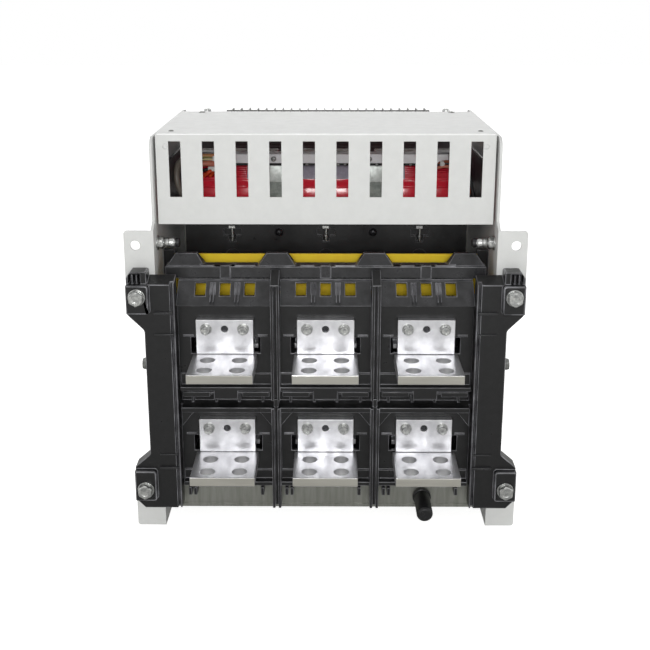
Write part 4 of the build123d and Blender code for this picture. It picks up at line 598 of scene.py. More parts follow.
# %% tapped holes behind the legs
# The middle hole of each leg opens on a tapped hole in the jaw's foot, which reads as dark.
hole_profile = [(0.3, 3.4), (3.2, 3.4), (3.2, 6.0), (0.3, 6.0)]
shapes = [turned(hole_profile, (x, leg_face_y, leg_bolt_z - drop), FRONT)
          for x in pole_x for drop in row_drop]
make_piece("tapped_hole_shadows", merged(shapes), black_oxide, "cradle")

# %% seam of each terminal
# Plate and leg meet in a square inner corner, and a thin dark strip laid along it is painted shade.
leg_half, plate_top = 27.0, 185.0
shapes = [slab((x - leg_half, leg_face_y - 0.25, plate_top - drop - 0.05),
               (x + leg_half, leg_face_y + 0.1, plate_top - drop + 0.55))
          for x in pole_x for drop in row_drop]
make_piece("terminal_corner_painted_shade", merged(shapes), black_oxide, "cradle")

# %% sheared edges of the stiffeners
# The channel's rear edge was sheared after coating, so bare grey steel shows against the light.
sheared = finish("sheared_steel_edge", "#A6A6A4", "#90908E", 4.0, (0.4, 0.5), 0.02, metallic=0.3,
                 fine_mm=0.8)
channel = softened("stiffeners", 0.25, powder_coat)
channel.data.materials.append(sheared)
for face in channel.data.polygons:
    face.material_index = int(face.normal.y < -0.6)

# %% ribs of the end frames
# Two bars below each upper ear and two above each lower one catch the light, and the lighter copy of the
# black moulding on them is a painted highlight. Each is given by its two heights and by how far it stands
# off the frame.
frame_face_y, rib_inner_x, rib_outer_x = -166.0, 141.5, 159.5
rib_bars = ((227.4, 229.8, 2.6), (206.6, 208.2, 1.4), (84.4, 85.8, 1.2), (70.4, 72.6, 2.6))
shapes = []
for side in (-1.0, 1.0):
    inner, outer = sorted((side * rib_inner_x, side * rib_outer_x))
    for low, high, proud in rib_bars:
        shapes.append(slab((inner, frame_face_y - proud, low), (outer, frame_face_y + 0.3, high)))
make_piece("end_frame_ribs", merged(shapes), moulding_painted_light, "cradle", bevel_mm=0.4)

# %% [markdown]
# ## Fold, rims and roof screws of the cover
# The cover is one sheet, folded over a former. A bright line along the bend and along the rim of
# each vent is painted: the faces on the bend get a white finish, a painted highlight, and the
# cover's own finish is lightened along its edges. The copy's faces on the bend are picked by the way they
# look, half backwards and half up. Painted rivets close the two holes of the rear wall, and two pan heads
# hold the roof to the ears inside it.

# %% cover
fold_highlight_paint = finish("powder_coat_painted_fold_highlight", "#FFFFFF", "#F6F7F5", 9.0, (0.3, 0.4), 0.005,
                     fine_mm=0.9, edge=0.1)
cover = softened("arc_cover", 0.3, powder_coat, edge_material=fold_highlight_paint)
cover.modifiers["rounded"].use_clamp_overlap = True  # the bend's facets are narrower than the bevel
# The faces on the bend take the white finish: a painted highlight.
for face in cover.data.polygons:
    face.material_index = int(face.normal.y < -0.2 and face.normal.z > 0.2)
(_, cover_rear_y, _), (_, _, cover_top_z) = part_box("arc_cover")
cover_rear_y, cover_top_z = cover_rear_y / MM, cover_top_z / MM
rivet_x, rivet_drop, roof_screw_x, roof_screw_y = 148.5, 12.0, 145.0, -114.0
rivet = [(0.2, -1.2), (1.9, -1.2), (1.9, 0.0), (2.6, 0.0), (2.6, 0.08), (0.2, 0.1)]
shapes = [turned(rivet, (x, cover_rear_y, cover_top_z - rivet_drop), BACK, sides=28)
          for x in (-rivet_x, rivet_x)]
make_piece("cover_rivets", merged(shapes), powder_coat, "cradle")
shapes = [pan_head((x, roof_screw_y, cover_top_z), UP, 2.6, 1.0, sides=28)
          for x in (-roof_screw_x, roof_screw_x)]
make_piece("cover_roof_screws", merged(shapes), dull_plate, "cradle")
print("cover top at", round(cover_top_z, 2), "mm")

# %% [markdown]
# ## Arc chutes
# Each pole has a red moulded chute behind the cover, where the arc is stretched and cooled. Its
# lower face is upright and glossy, and above it a ribbed slope leads back to the top. All of it
# runs straight across the pole, so one profile in height and depth is carried across, and the
# ribs come from a zigzag added along the slope.

# %% chute finishes and profile
red_gloss = finish("red_thermoset_glossy", "#F02A40", "#DE2138", 8.0, (0.14, 0.24), 0.02, fine_mm=2.5,
                   edge=0.8, coat=0.35)
slope_painted_reflection = finish("chute_slope_painted_reflection", "#CFC9D8", "#B8B2C2", 3.0, (0.3, 0.45), 0.04, fine_mm=0.8)
block_grey = finish("grey_phenolic_block", "#77767A", "#5C5B5F", 3.0, (0.35, 0.5), 0.05, fine_mm=0.8)
plug_grey = finish("dark_grey_nylon", "#626263", "#5A5A5B", 8.0, (0.35, 0.5), 0.03, fine_mm=1.2)
chute_low, chute_high, chute_rear, chute_front, chute_half = 300.3, 351.0, -63.0, 36.0, 43.0
step_z, slope_start, slope_end = 334.6, (-60.8, 335.4), (-49.5, 348.4)
rib_count = 7


def ribbed_slope(start, end, ribs, height):
    """Points from start to end; every second one stands off the line by the rib height."""
    t = np.linspace(0, 1, 2 * ribs + 1)
    line = np.outer(1 - t, start) + np.outer(t, end)
    run = np.subtract(end, start) / np.hypot(*np.subtract(end, start))
    off = height * (np.arange(2 * ribs + 1) % 2)
    return line + off[:, None] * np.array([-run[1], run[0]])


chute_profile = [(chute_rear + 2.0, chute_low), (chute_rear, chute_low + 2.0), (chute_rear, 325.4),
                 (chute_rear + 0.5, 326.6), (chute_rear + 1.3, 327.3), (chute_rear + 1.3, step_z - 0.8),
                 (chute_rear + 2.0, step_z), *ribbed_slope(slope_start, slope_end, rib_count, 0.9),
                 (-49.0, chute_high - 1.2), (-47.8, chute_high), (chute_front - 3, chute_high),
                 (chute_front, chute_high - 3), (chute_front, chute_low)]

# %% three chutes
# The slope's ribs are bare red at the outer ends. Towards the middle a pale lavender ribbed strip lies
# over them, a painted reflection of the sky on the glossy red slope.
reflection_span = {1: (-79.0, -53.0), 2: (-31.0, 31.0), 3: (53.0, 79.0)}
for n, x in enumerate(pole_x, start=1):
    body = carried(chute_profile, "x", x - chute_half, x + chute_half)
    chute = make_piece(f"arc_chute_body_{n}", body, red_gloss, "breaker", bevel_mm=0.5,
                       crease_deg=25)
    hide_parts(f"arc_chute_{n}")
    strip = ribbed_slope((-62.0, 336.0), (-51.3, 348.0), 6, 0.35)
    back = ribbed_slope((-61.0, 335.0), (-50.3, 347.0), 6, 0.35)[::-1]
    make_piece(f"chute_slope_reflection_{n}", carried(np.vstack([strip, back]), "x", *reflection_span[n]), slope_painted_reflection,
               "breaker")

# %% splitter plates
# The steel plates that cut up the arc stand on edge in the open top of each chute.
shapes = []
for x in pole_x:
    for y in np.arange(-34.0, 30.0, 7.5):
        shapes.append(slab((x - 42.4, y, chute_high - 3), (x + 42.4, y + 2.0, chute_high + 0.7)))
make_piece("arc_splitter_plates", merged(shapes), galvanised, "breaker", bevel_mm=0.2)

# %% [markdown]
# ## Clamp bar, brackets and side shade sheets
# A grey steel angle lies across the chute tops and two bent brackets pull it down. Each bracket's
# upper half leans back at a bend in one profile and is painted light, a painted reflection of the sky,
# while its lower half and feet are painted darker, painted shade. A thin dark sheet at each end of the row
# of chutes is painted shade for the inside of the side plates.

# %% clamp bar
bar_grey = finish("grey_painted_steel_matt", "#F4F4F6", "#ECECEE", 6.0, (0.45, 0.55), 0.02, fine_mm=0.8)
bar_half = 121.5
angle_profile = [(-66, 352), (-66, 361), (-48, 361), (-48, 359.6), (-64.6, 359.6), (-64.6, 352)]
bar = make_piece("chute_clamp_bar", carried(angle_profile, "x", -bar_half, bar_half), bar_grey, "breaker",
                 bevel_mm=0.4)
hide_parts("chute_clamp")

# %% brackets and their screws
# The two bracket finishes belong to one bent zinc strip: the lighter one is a painted reflection of the
# sky on the leaning half, and the darker one is painted shade on the upright half and the feet.
bracket_painted_highlight = finish("zinc_bent_strip_painted_highlight", "#D3D8D4", "#B4BAB5", 4.0, (0.3, 0.42), 0.02, metallic=0.35,
                     fine_mm=0.7)
bracket_painted_shade = finish("zinc_bent_strip_painted_shade", "#9BA29C", "#7D847F", 4.0, (0.4, 0.5), 0.03, metallic=0.35,
                   fine_mm=0.7)
bend_profile = [(-66, 333), (-59.5, 348.5), (-59.5, 351.6), (-57.9, 351.6), (-57.9, 348.2),
                (-64.4, 332.7)]
foot_profile = [(-66, 317), (-66, 333.1), (-64.4, 332.8), (-64.4, 317)]
shapes, screw_heads, feet = [], [], []
for x in (-47.5, 47.5):
    shapes += [carried(bend_profile, "x", x - 9.0, x + 9.0),
               slab((x - 3.2, -57.0, 300.0), (x + 3.2, -42.0, 351.0)),
               slab((x - 3.2, -65.0, 317.5), (x + 3.2, -54.0, 321.0))]
    screw_heads.append(pan_head((x - 4.5, -66.0, 356.2), BACK, 2.6, 1.2))
    feet.append(carried(foot_profile, "x", x - 9.0, x + 9.0))
make_piece("chute_bracket_feet", merged(feet), bracket_painted_shade, "breaker", bevel_mm=0.4)
make_piece("chute_brackets", merged(shapes), bracket_painted_highlight, "breaker", bevel_mm=0.4)
for x in (-74.0, -19.0, 12.0, 19.0, 50.5, 84.0):
    screw_heads.append(pan_head((x, -65.2, 350.4), BACK, 1.5, 1.2))
make_piece("clamp_screws", merged(screw_heads), bright_zinc, "breaker")
gasket = slab((-138.0, -65.2, 349.4), (138.0, -49.5, 351.9))
make_piece("chute_top_gasket", gasket, moulding, "breaker", bevel_mm=0.3)

# %% side shade sheets
shapes = []
for side in (-1, 1):
    lean = [(138.4, 300.5), (151.2, 300.5), (152.6, 302.5), (152.6, 360.5), (150.8, 360.5),
            (150.8, 304.0), (149.8, 302.4), (138.4, 302.4)]
    shapes.append(carried([(side * x, z) for x, z in lean], "y", -104.0, 30.0))
# A dark sheet standing in for the shaded inside of the side plates: painted shade.
dark_sheet_painted_shade = finish("black_sheet_painted_shade", "#3C3C42", "#2C2C31", 12.0, (0.3, 0.42), 0.02,
                       fine_mm=1.5)
make_piece("end_shade_sheets", merged(shapes), dark_sheet_painted_shade, "breaker", bevel_mm=0.4)

# %% [markdown]
# ## Control wires
# Thin PVC-covered wires leave the casing's rear at both ends, climb past the chutes and fold
# over to the auxiliary contacts. A wire is a circle carried along a smooth line through a few
# given points. The line is a Catmull-Rom curve, because it passes through each point and
# has no corners.

# %% tube along a smooth line
def bent_tube(points, radius, steps=9, sides=12):
    """Circle carried along a curve. Between two points the place is a cubic blend of four
    neighbours, so that its direction at each point is half the step between the next ones."""
    p = np.array(points, float)
    p = np.vstack([2 * p[0] - p[1], p, 2 * p[-1] - p[-2]])
    t = np.linspace(0, 1, steps, endpoint=False)[:, None]
    spans = [0.5 * (2 * b + (c - a) * t + (2 * a - 5 * b + 4 * c - d) * t ** 2
                    + (3 * b - a - 3 * c + d) * t ** 3) for a, b, c, d in zip(p, p[1:], p[2:], p[3:])]
    line = np.vstack([*spans, p[-2:-1]])
    along = np.gradient(line, axis=0)
    along /= np.linalg.norm(along, axis=1, keepdims=True)
    side = np.cross(along, (0.31, 0.2, 0.93))
    side /= np.linalg.norm(side, axis=1, keepdims=True)
    up = np.cross(along, side)
    a = np.arange(sides) * 2 * np.pi / sides
    ring = np.cos(a)[None, :, None] * side[:, None] + np.sin(a)[None, :, None] * up[:, None]
    return surface(line[:, None] + radius * ring)


# %% wires and their finishes
wire_colours = {"tan": "#C48A5C", "olive": "#8B8748", "straw": "#E6DCA6", "salmon": "#CB7C66",
                "orange": "#D9481C", "brown": "#8E4B2A", "taupe": "#7B746B", "black": "#2A2A2C"}
wire_runs = {
    "tan": [(1.9, [(-139, -62, 352), (-133, -66, 359), (-122, -70, 360.2), (-108, -66, 359.6),
                   (-98, -58, 358)])],
    "olive": [(1.3, [(-138, -62, 350), (-131, -67, 358), (-120, -70.5, 359.2), (-110, -66, 358.6),
                     (-104, -58, 357)])],
    "straw": [(0.9, [(-138, -62, 346), (-130, -68, 355), (-121, -71, 356.6), (-112, -66, 356)])],
    "salmon": [(2.9, [(-139, -60, 342), (-131, -66, 350), (-121, -69, 352.2), (-110, -64.5, 351.5),
                      (-102, -57, 351)]),
               (1.6, [(136, -60, 338), (128, -67, 346), (119, -69, 349.6), (110, -66, 347.5),
                      (104, -58, 346)])],
    "orange": [(1.8, [(-137, -62, 332), (-126, -68, 337), (-118, -71, 342.5), (-114.6, -70, 345),
                      (-113.2, -66, 342), (-116, -64.6, 338.4)])],
    "brown": [(2.6, [(137.5, -60, 292.5), (137.5, -66.5, 294), (138, -69, 303), (137.5, -70, 312),
                     (142.0, -72, 326), (140, -66, 340)]),
              (1.5, [(140, -62, 342), (130, -68, 352), (120, -70, 354.5), (111, -64, 352)])],
    "taupe": [(3.2, [(-138, -60, 292.5), (-138, -67, 294), (-139, -71, 303), (-140, -72, 314),
                     (-147, -76, 334), (-147, -70, 350), (-140, -60, 357)]),
              (3.2, [(143, -60, 292), (143, -67, 294), (143, -73, 302), (143, -74, 310),
                     (136, -74, 330), (134, -64, 346), (126, -54, 356)])],
    "black": [(1.6, [(-143, -78, 306), (-141, -80, 324), (-136.5, -80, 346), (-134, -70, 360)]),
              (1.6, [(148, -78, 308), (144, -80, 330), (138, -80, 350), (133, -70, 360)]),
              (1.8, [(-139, -60, 338), (-128, -64, 343), (-118, -66, 345.5), (-106, -60, 345)])],
}
for colour, runs in wire_runs.items():
    sheath_finish = finish(f"pvc_sheath_{colour}", wire_colours[colour], wire_colours[colour], 6.0,
                           (0.35, 0.45), 0.01, fine_mm=0.8)
    shape = merged([bent_tube(points, radius) for radius, points in runs])
    wires = make_piece(f"wires_{colour}", shape, sheath_finish, "breaker")
    if colour == "taupe":
        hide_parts("wiring")

# %% wire ends
# Small white housings close the wires' ends, and grey blocks hold the auxiliary contacts.
white_nylon = finish("white_nylon", "#E4E4E0", "#D6D6D2", 5.0, (0.35, 0.45), 0.01, fine_mm=0.8)
shapes = [slab((-117, -71, 344.6), (-110, -65, 349.2)), slab((-112.5, -70, 354.6), (-106, -64, 359.6)),
          slab((113, -70, 349.8), (117.5, -65, 354.6))]
make_piece("wire_housings", merged(shapes), white_nylon, "breaker", bevel_mm=0.4)
shapes = [slab((-138, -64, 350.4), (-124, -50, 352.0)), slab((124, -64, 350.4), (138, -50, 352.0)),
          slab((-138, -66, 352.0), (-104, -50, 355.0)), slab((122.5, -66, 352.0), (138, -50, 355.0)),
          slab((-128, -62, 355.0), (-104, -44, 362.0)), slab((106, -62, 355.0), (130, -44, 362.0))]
make_piece("auxiliary_contact_blocks", merged(shapes), block_grey, "breaker", bevel_mm=0.5)

# %% auxiliary plug
# Its rear wall has fine ribs across, its top a trough where the contacts stand.
plug_rear, plug_front, plug_low, plug_high = 85.0, 118.0, 304.0, 358.0
ribs = ribbed_slope((plug_rear, plug_low + 1), (plug_rear, plug_high - 3), 12, 0.5)
body = [(plug_front, plug_low), *ribs, (plug_rear + 2, plug_high), (plug_rear + 5, plug_high),
        (plug_rear + 5, plug_high - 12), (plug_front - 5, plug_high - 12), (plug_front - 5, plug_high),
        (plug_front - 1, plug_high), (plug_front, plug_high - 1)]
make_piece("secondary_plug_body", carried(body, "x", -113.0, 116.0), plug_grey, "breaker",
           bevel_mm=0.3, crease_deg=25)

# %% [markdown]
# ## Front cover, sill and trip unit
# The operator's side is injection-moulded ABS, which always has a small radius on its edges. The
# cover's openings are trimmed by thin frames. A frame is made from four loops of one rounded
# rectangle: outer low, outer high, inner high and inner low, joined all the way round.

# %% softened mouldings of the operator's side
# The edge colours of these two finishes are painted highlights along every edge.
trip_grey = finish("charcoal_abs", "#4A4C50", "#404246", 9.0, (0.4, 0.5), 0.015, fine_mm=0.8, edge=0.5,
                   painted_edge_highlight="#7B7D81")
frame_black = finish("black_abs_trim", "#26272A", "#1E1F21", 6.0, (0.35, 0.45), 0.01, fine_mm=0.8,
                     edge=0.4, painted_edge_highlight="#5A5B5E")
for node, radius_mm, material in (("front_cover", 1.0, grey_abs), ("trip_unit", 0.5, trip_grey),
                                  ("charging_handle", 1.2, moulding), ("padlock_tab", 0.5, red),
                                  ("crank_sleeve", 0.6, moulding)):
    softened(node, radius_mm, material)
cover_face, trip_face, sill_face = 190.0, 200.0, 190.0


# %% rounded frames
def rounded(cx, cz, half_x, half_z, radius, count=40):
    """Rectangle whose corners are quarter circles: the corner centre plus radius * (cos, sin)."""
    a = (np.arange(count) + 0.5) * 2 * np.pi / count
    return np.column_stack([cx + np.sign(np.cos(a)) * (half_x - radius) + radius * np.cos(a),
                            cz + np.sign(np.sin(a)) * (half_z - radius) + radius * np.sin(a)])


def trim_frame(cx, cz, half_x, half_z, radius, wide, low, high):
    """Ring in the X-Z plane between two rounded rectangles, from y low to y high."""
    outer = rounded(cx, cz, half_x + wide, half_z + wide, radius + wide)
    inner = rounded(cx, cz, half_x, half_z, radius)
    bevelled = rounded(cx, cz, half_x + wide - 0.5, half_z + wide - 0.5, radius + wide - 0.5)
    loops = [(outer, low), (outer, high - 0.5), (bevelled, high), (inner, high), (inner, low)]
    points = np.stack([np.column_stack([xz[:, 0], np.full(len(xz), y), xz[:, 1]]) for xz, y in loops])
    return surface(points, wrap_rows=True)


flag_x = -28.0
flag_rows, button_rows = {"state": 248.0, "charge": 284.0}, {"on": 168.0, "off": 204.0}
shapes = [trim_frame(flag_x, z, 9.0, 7.0, 0.8, 2.4, cover_face - 0.3, cover_face + 1.0)
          for z in flag_rows.values()]
shapes.append(trim_frame(-96.0, 242.5, 13.0, 74.5, 1.0, 2.0, cover_face - 0.3, cover_face + 0.9))
shapes.append(trim_frame(flag_x, 186.0, 15.0, 33.5, 5.0, 1.8, cover_face - 0.3, cover_face + 1.2))
make_piece("cover_trim_frames", merged(shapes), frame_black, "breaker")
shapes = [trim_frame(78.0, 276.0, 32.0, 20.0, 1.0, 1.6, trip_face - 1.2, trip_face + 0.5),
          trim_frame(78.0, 197.0, 38.0, 38.5, 1.5, 1.0, trip_face - 0.3, trip_face + 0.6)]
make_piece("trip_unit_frames", merged(shapes), frame_black, "breaker")
shapes = [slab((flag_x - 8.9, cover_face - 1.6, z - 6.9), (flag_x + 8.9, cover_face - 0.9, z + 6.9))
          for z in flag_rows.values()]
make_piece("flag_window_panes", merged(shapes), clear, "breaker", bevel_mm=0.15)

# %% cover screws
shapes = [pan_head((x, cover_face - 0.2, z), FRONT, 3.4, 2.0, sides=32)
          for x in (-121.0, 121.0) for z in (109.5, 217.0, 325.5)]
make_piece("front_cover_screws", merged(shapes), bright_zinc, "breaker")
shapes = [pan_head((x, sill_face - 0.2, 27.0), FRONT, 3.0, 1.8, sides=32) for x in (-146.0, 146.0)]
make_piece("sill_screws", merged(shapes), bright_zinc, "cradle")

# %% [markdown]
# ## Display, keys and dials
# The trip unit has a small glass display, four rubber keys and, under the clear cover, dials that
# a screwdriver turns. The glass is a dark plate with a paler panel behind it. Dials are turned
# discs with a slot, and the ticks round each one stand at equal angles over three quarters of a turn.

# %% display
display_glass = finish("smoked_display_glass", "#20262A", "#1B2024", 12.0, (0.05, 0.1), 0.0, edge=0.3)
display_lit = finish("liquid_crystal_panel", "#A9B59A", "#A1AD92", 12.0, (0.2, 0.3), 0.0, edge=0.3)
segment_dark = finish("liquid_crystal_segments", "#2E3730", "#262E28", 6.0, (0.3, 0.4), 0.0, edge=0.2)
make_piece("display_glass", slab((46.2, 198.0, 256.2), (109.8, 198.7, 295.8)), display_glass, "breaker",
           bevel_mm=0.2)
make_piece("display_panel", slab((51.0, 198.5, 262.0), (105.0, 198.9, 290.0)), display_lit, "breaker",
           bevel_mm=0.1)
shapes = [slab((x, 198.8, 266.0), (x + 7.0, 199.05, 266.0 + height))
          for x, height in ((57.0, 16.0), (69.0, 19.0), (81.0, 14.0))]
shapes += [slab((55.0, 198.8, 264.4), (101.0, 199.05, 265.0)),
           slab((94.0, 198.8, 268.0), (95.0, 199.05, 286.0))]
shapes += [slab((95.0, 198.8, z), (98.5, 199.05, z + 0.6)) for z in (268.0, 274.0, 280.0, 285.4)]
make_piece("display_bars", merged(shapes), segment_dark, "breaker")

# %% keys and lamps
key_x, key_z = (54.0, 70.0, 86.0, 102.0), 240.0
rubber = finish("grey_silicone_rubber", "#9EA1A4", "#95989B", 4.0, (0.5, 0.6), 0.01, fine_mm=0.6)
key_profile = [(4.5, -0.2), (4.5, 0.9), (4.2, 1.6), (3.5, 2.0), (2.0, 2.15), (0.3, 2.2)]
shapes = [turned([(0.3, -0.2)] + key_profile, (x, trip_face, key_z), FRONT) for x in key_x]
make_piece("trip_unit_keys", merged(shapes), rubber, "breaker")
lamp_profile = [(0.2, -0.2), (1.3, -0.2), (1.3, 0.3), (0.9, 0.7), (0.2, 0.85)]
for colour, x, slot in (("green", 46.0, "green_plastic"), ("red", 110.0, "red_moulding")):
    make_piece(f"indicator_lamp_{colour}", turned(lamp_profile, (x, trip_face, 248.5), FRONT),
               finish_of_slot[slot], "breaker")

# %% dials under the clear cover
dial_places = [(x, z) for z in (217.0, 193.0) for x in (57.0, 78.0, 99.0)]
dial_profile = [(0.3, -0.2), (5.6, -0.2), (5.6, 0.7), (5.2, 1.1), (0.3, 1.1)]
ivory = finish("ivory_nylon_dial", "#DAD6C6", "#D0CCBC", 5.0, (0.35, 0.45), 0.01, fine_mm=0.8, edge=0.3)
shapes = [turned(dial_profile, (x, trip_face, z), FRONT) for x, z in dial_places]
make_piece("setting_dials", merged(shapes), ivory, "breaker")
tick_angle = np.radians(np.linspace(-135, 135, 10))
shapes = []
for number, (x, z) in enumerate(dial_places):
    turn = tick_angle[(3 * number + 2) % 10]
    run, across = np.array([np.sin(turn), np.cos(turn)]), np.array([np.cos(turn), -np.sin(turn)])
    corner = [(x, z) + 4.6 * s * run + 0.5 * w * across
              for s, w in ((-1, -1), (1, -1), (1, 1), (-1, 1))]
    shapes.append(carried(corner, "y", trip_face + 1.0, trip_face + 1.2))
    for a in tick_angle:
        out, wide = np.array([np.sin(a), np.cos(a)]), np.array([np.cos(a), -np.sin(a)])
        corner = [(x, z) + r * out + 0.22 * w * wide
                  for r, w in ((6.6, -1), (8.2, -1), (8.2, 1), (6.6, 1))]
        shapes.append(carried(corner, "y", trip_face - 0.05, trip_face + 0.1))
white_ink = finish("white_screen_print", "#E6E6E2", "#DEDEDA", 8.0, (0.4, 0.5), 0.0, edge=0.2)
make_piece("dial_slots_and_ticks", merged(shapes), white_ink, "breaker")
softened("trip_window", 0.3, clear)
softened("reset_button", 0.4, grey_abs)

# %% [markdown]
# ## Buttons and flags
# The push buttons have dished caps, so a finger centres itself, and carry the two standard marks:
# a bar for on and a ring for off. Each flag is a drum on a pin. It turns by 25 degrees, so the
# border between its two fields lies half that angle below the middle of its window.

# %% push buttons
white_mark = finish("white_filled_engraving", "#F0F0EC", "#E8E8E4", 6.0, (0.35, 0.45), 0.0, edge=0.2)
button_profile = [(0.3, 140), (3, 140), (3, 182.6), (11, 182.6), (11, 186.0), (9, 186.0), (9, 194.4),
                  (8.7, 195.4), (8.0, 196.0), (7.4, 196.0), (6.0, 195.4), (3.5, 194.9), (0.3, 194.8)]
for name, material, slot in (("on", green, "green_plastic"), ("off", red, "red_moulding")):
    z = button_rows[name]
    button = make_piece(f"{name}_push_button", turned(button_profile, (flag_x, 0, z), FRONT, sides=40),
                        material, f"{name}_button")
    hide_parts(f"{name}_button")
on_z, off_z = button_rows["on"], button_rows["off"]
bar_mark = slab((flag_x - 0.8, 194.6, on_z - 3.6), (flag_x + 0.8, 195.5, on_z + 3.6))
ring_mark = turned([(2.5, 194.6), (3.9, 194.6), (3.9, 195.5), (2.5, 195.5)], (flag_x, 0, off_z),
                   FRONT, loop=True)
make_piece("on_button_mark", bar_mark, white_mark, "on_button", bevel_mm=0.1)
make_piece("off_button_mark", ring_mark, white_mark, "off_button")


# %% flag fields
drum_y, drum_r, mark_low, mark_high = 168, 16, 16.05, 16.3


def drum_field(z, low_degrees, high_degrees, half=12.6, inner=15.9, outer=16.12, steps=16):
    """Curved plate on a drum: y = drum_y + r cos a and z = centre + r sin a, between two angles."""
    a = np.radians(np.linspace(low_degrees, high_degrees, steps))
    loop = [(-half, inner), (half, inner), (half, outer), (-half, outer)]
    rows = [np.column_stack([np.full(steps, flag_x + x), drum_y + r * np.cos(a), z + r * np.sin(a)])
            for x, r in loop]
    return surface(np.stack(rows, axis=1))


state_z, charge_z, border = flag_rows["state"], flag_rows["charge"], -12.5
make_piece("state_flag_open_field", drum_field(state_z, border, 50), green, "state_flag")
make_piece("state_flag_closed_field", drum_field(state_z, -50, border), red, "state_flag")
make_piece("charge_flag_released_field", drum_field(charge_z, border, 50), white_ink, "charge_flag")
make_piece("charge_flag_charged_field", drum_field(charge_z, -50, border), yellow, "charge_flag")


def drum_ring(z, middle, radius=2.9, wide=0.9, count=32):
    """Ring mark laid on a drum: flat circle whose height becomes the angle height / drum_r."""
    t = np.arange(count) * 2 * np.pi / count
    rows = []
    for r, lift in ((radius - wide, mark_low), (radius, mark_low), (radius, mark_high),
                    (radius - wide, mark_high)):
        a = np.radians(middle) + r * np.sin(t) / drum_r
        rows.append(np.column_stack([flag_x + r * np.cos(t), drum_y + lift * np.cos(a),
                                     z + lift * np.sin(a)]))
    return surface(np.stack(rows), wrap_rows=True)


def drum_spring(z, middle, height, turns=4, half=4.5):
    """Zigzag mark, the usual sign for a spring: x runs evenly while the height swings."""
    t = np.linspace(-half, half, 2 * turns + 1)
    swing = height * (-1.0) ** np.arange(2 * turns + 1)
    a = np.radians(middle) + swing / drum_r
    rows = []
    for dx, lift in ((-0.45, mark_low), (0.45, mark_low), (0.45, mark_high), (-0.45, mark_high)):
        rows.append(np.column_stack([flag_x + t + dx, drum_y + lift * np.cos(a),
                                     z + lift * np.sin(a)]))
    return surface(np.stack(rows, axis=1))


state_bar = drum_field(state_z, border - 31, border - 14, half=0.8, inner=16.0, outer=mark_high, steps=8)
state_marks = [drum_ring(state_z, 8.0), state_bar]
make_piece("state_flag_marks", merged(state_marks), white_mark, "state_flag")
charge_marks = [drum_spring(charge_z, 8.0, 1.4, half=5.5),
                drum_spring(charge_z, border - 22, 2.6, half=3.0)]
make_piece("charge_flag_marks", merged(charge_marks), segment_dark, "charge_flag")

# %% [markdown]
# ## Handle grip, crank grip and sill fittings
# The charging handle has cross ribs where the palm pulls. The crank's grip is fluted: its radius
# falls and rises twelve times round, so that it doesn't slip. A dark sleeve lines the racking
# hole, and thin steel rings trim both round holes in the sill.

# %% handle ribs
shapes = []
for z in np.linspace(291.5, 307.0, 6):
    rib = [(210.3, z - 0.9), (211.5, z - 0.45), (211.5, z + 0.45), (210.3, z + 0.9)]
    shapes.append(carried(rib, "x", -103.6, -88.4))
make_piece("handle_grip_ribs", merged(shapes), moulding, "charging_handle", bevel_mm=0.15)

# %% crank grip
def fluted(profile, centre, flutes, depth, sides=96):
    """Turned piece whose radius is cut by depth * the square of sin(flutes * a / 2)."""
    radius, station, cut = np.array(profile, float).T
    a = np.arange(sides) * 2 * np.pi / sides
    r = radius[:, None] - depth * cut[:, None] * np.sin(flutes * a / 2) ** 2
    side, up = cross_frame(FRONT)
    round_part = np.cos(a)[:, None] * side + np.sin(a)[:, None] * up
    return surface(np.asarray(centre, float) + station[:, None, None] * np.array(FRONT)
                   + r[:, :, None] * round_part)


crank_x, crank_z = 95.5, 31.4
grip_profile = [(6.4, 175.6, 0), (10.6, 175.6, 0), (11.1, 176.4, 0.4), (11.1, 178.0, 1), (11.1, 198.0, 1),
                (11.0, 199.6, 0.4), (9.2, 201.6, 0), (8.0, 202.2, 0), (4.0, 202.2, 0), (0.4, 202.2, 0)]
flutes, flute_depth = 12, 0.55
make_piece("crank_grip", fluted(grip_profile, (crank_x, 0, crank_z), flutes, flute_depth), moulding,
           "racking_crank")

# %% sill fittings
racking_z = 36.0
ring_profile = [(0.0, -0.3), (2.6, -0.3), (2.6, 0.4), (2.1, 0.8), (0.3, 0.8), (0.0, 0.5)]
shapes = [turned([(r + inner, s) for r, s in ring_profile], (x, sill_face, z), FRONT, sides=48,
                 loop=True)
          for x, z, inner in ((0.0, racking_z, 11.0), (crank_x, crank_z, 11.55))]
make_piece("sill_hole_rings", merged(shapes), bright_zinc, "cradle")
sleeve_profile = [(11.0, 189.6), (12.6, 189.6), (12.6, 156.0), (5.6, 156.0), (5.6, 157.2), (11.0, 157.2)]
sleeve = turned(sleeve_profile, (0, 0, racking_z), FRONT, sides=40, loop=True)
make_piece("racking_hole_sleeve", sleeve, frame_black, "cradle")
make_piece("position_card", slab((34.6, 188.2, 24.6), (57.4, 188.7, 37.4)), white_ink, "cradle",
           bevel_mm=0.1)
shapes = [slab((x, 188.6, 24.8), (x + 0.5, 188.85, 37.2)) for x in (41.9, 49.6)]
shapes += [slab((45.2, 188.6, 27.0), (46.6, 188.85, 35.0))]
make_piece("position_card_lines", merged(shapes), segment_dark, "cradle")
make_piece("position_window", slab((34.2, 189.1, 24.2), (57.8, 189.6, 37.8)), clear, "cradle",
           bevel_mm=0.15)

# %% [markdown]
# ## Lead screw and closing spring
# The lead screw's thread is one surface: round and along, the radius falls from the crest by how
# far the point is from the ridge, and the ridge climbs one pitch a turn. The closing spring is a
# round wire carried along a helix whose first and last turns lie flat, as ground spring ends do.

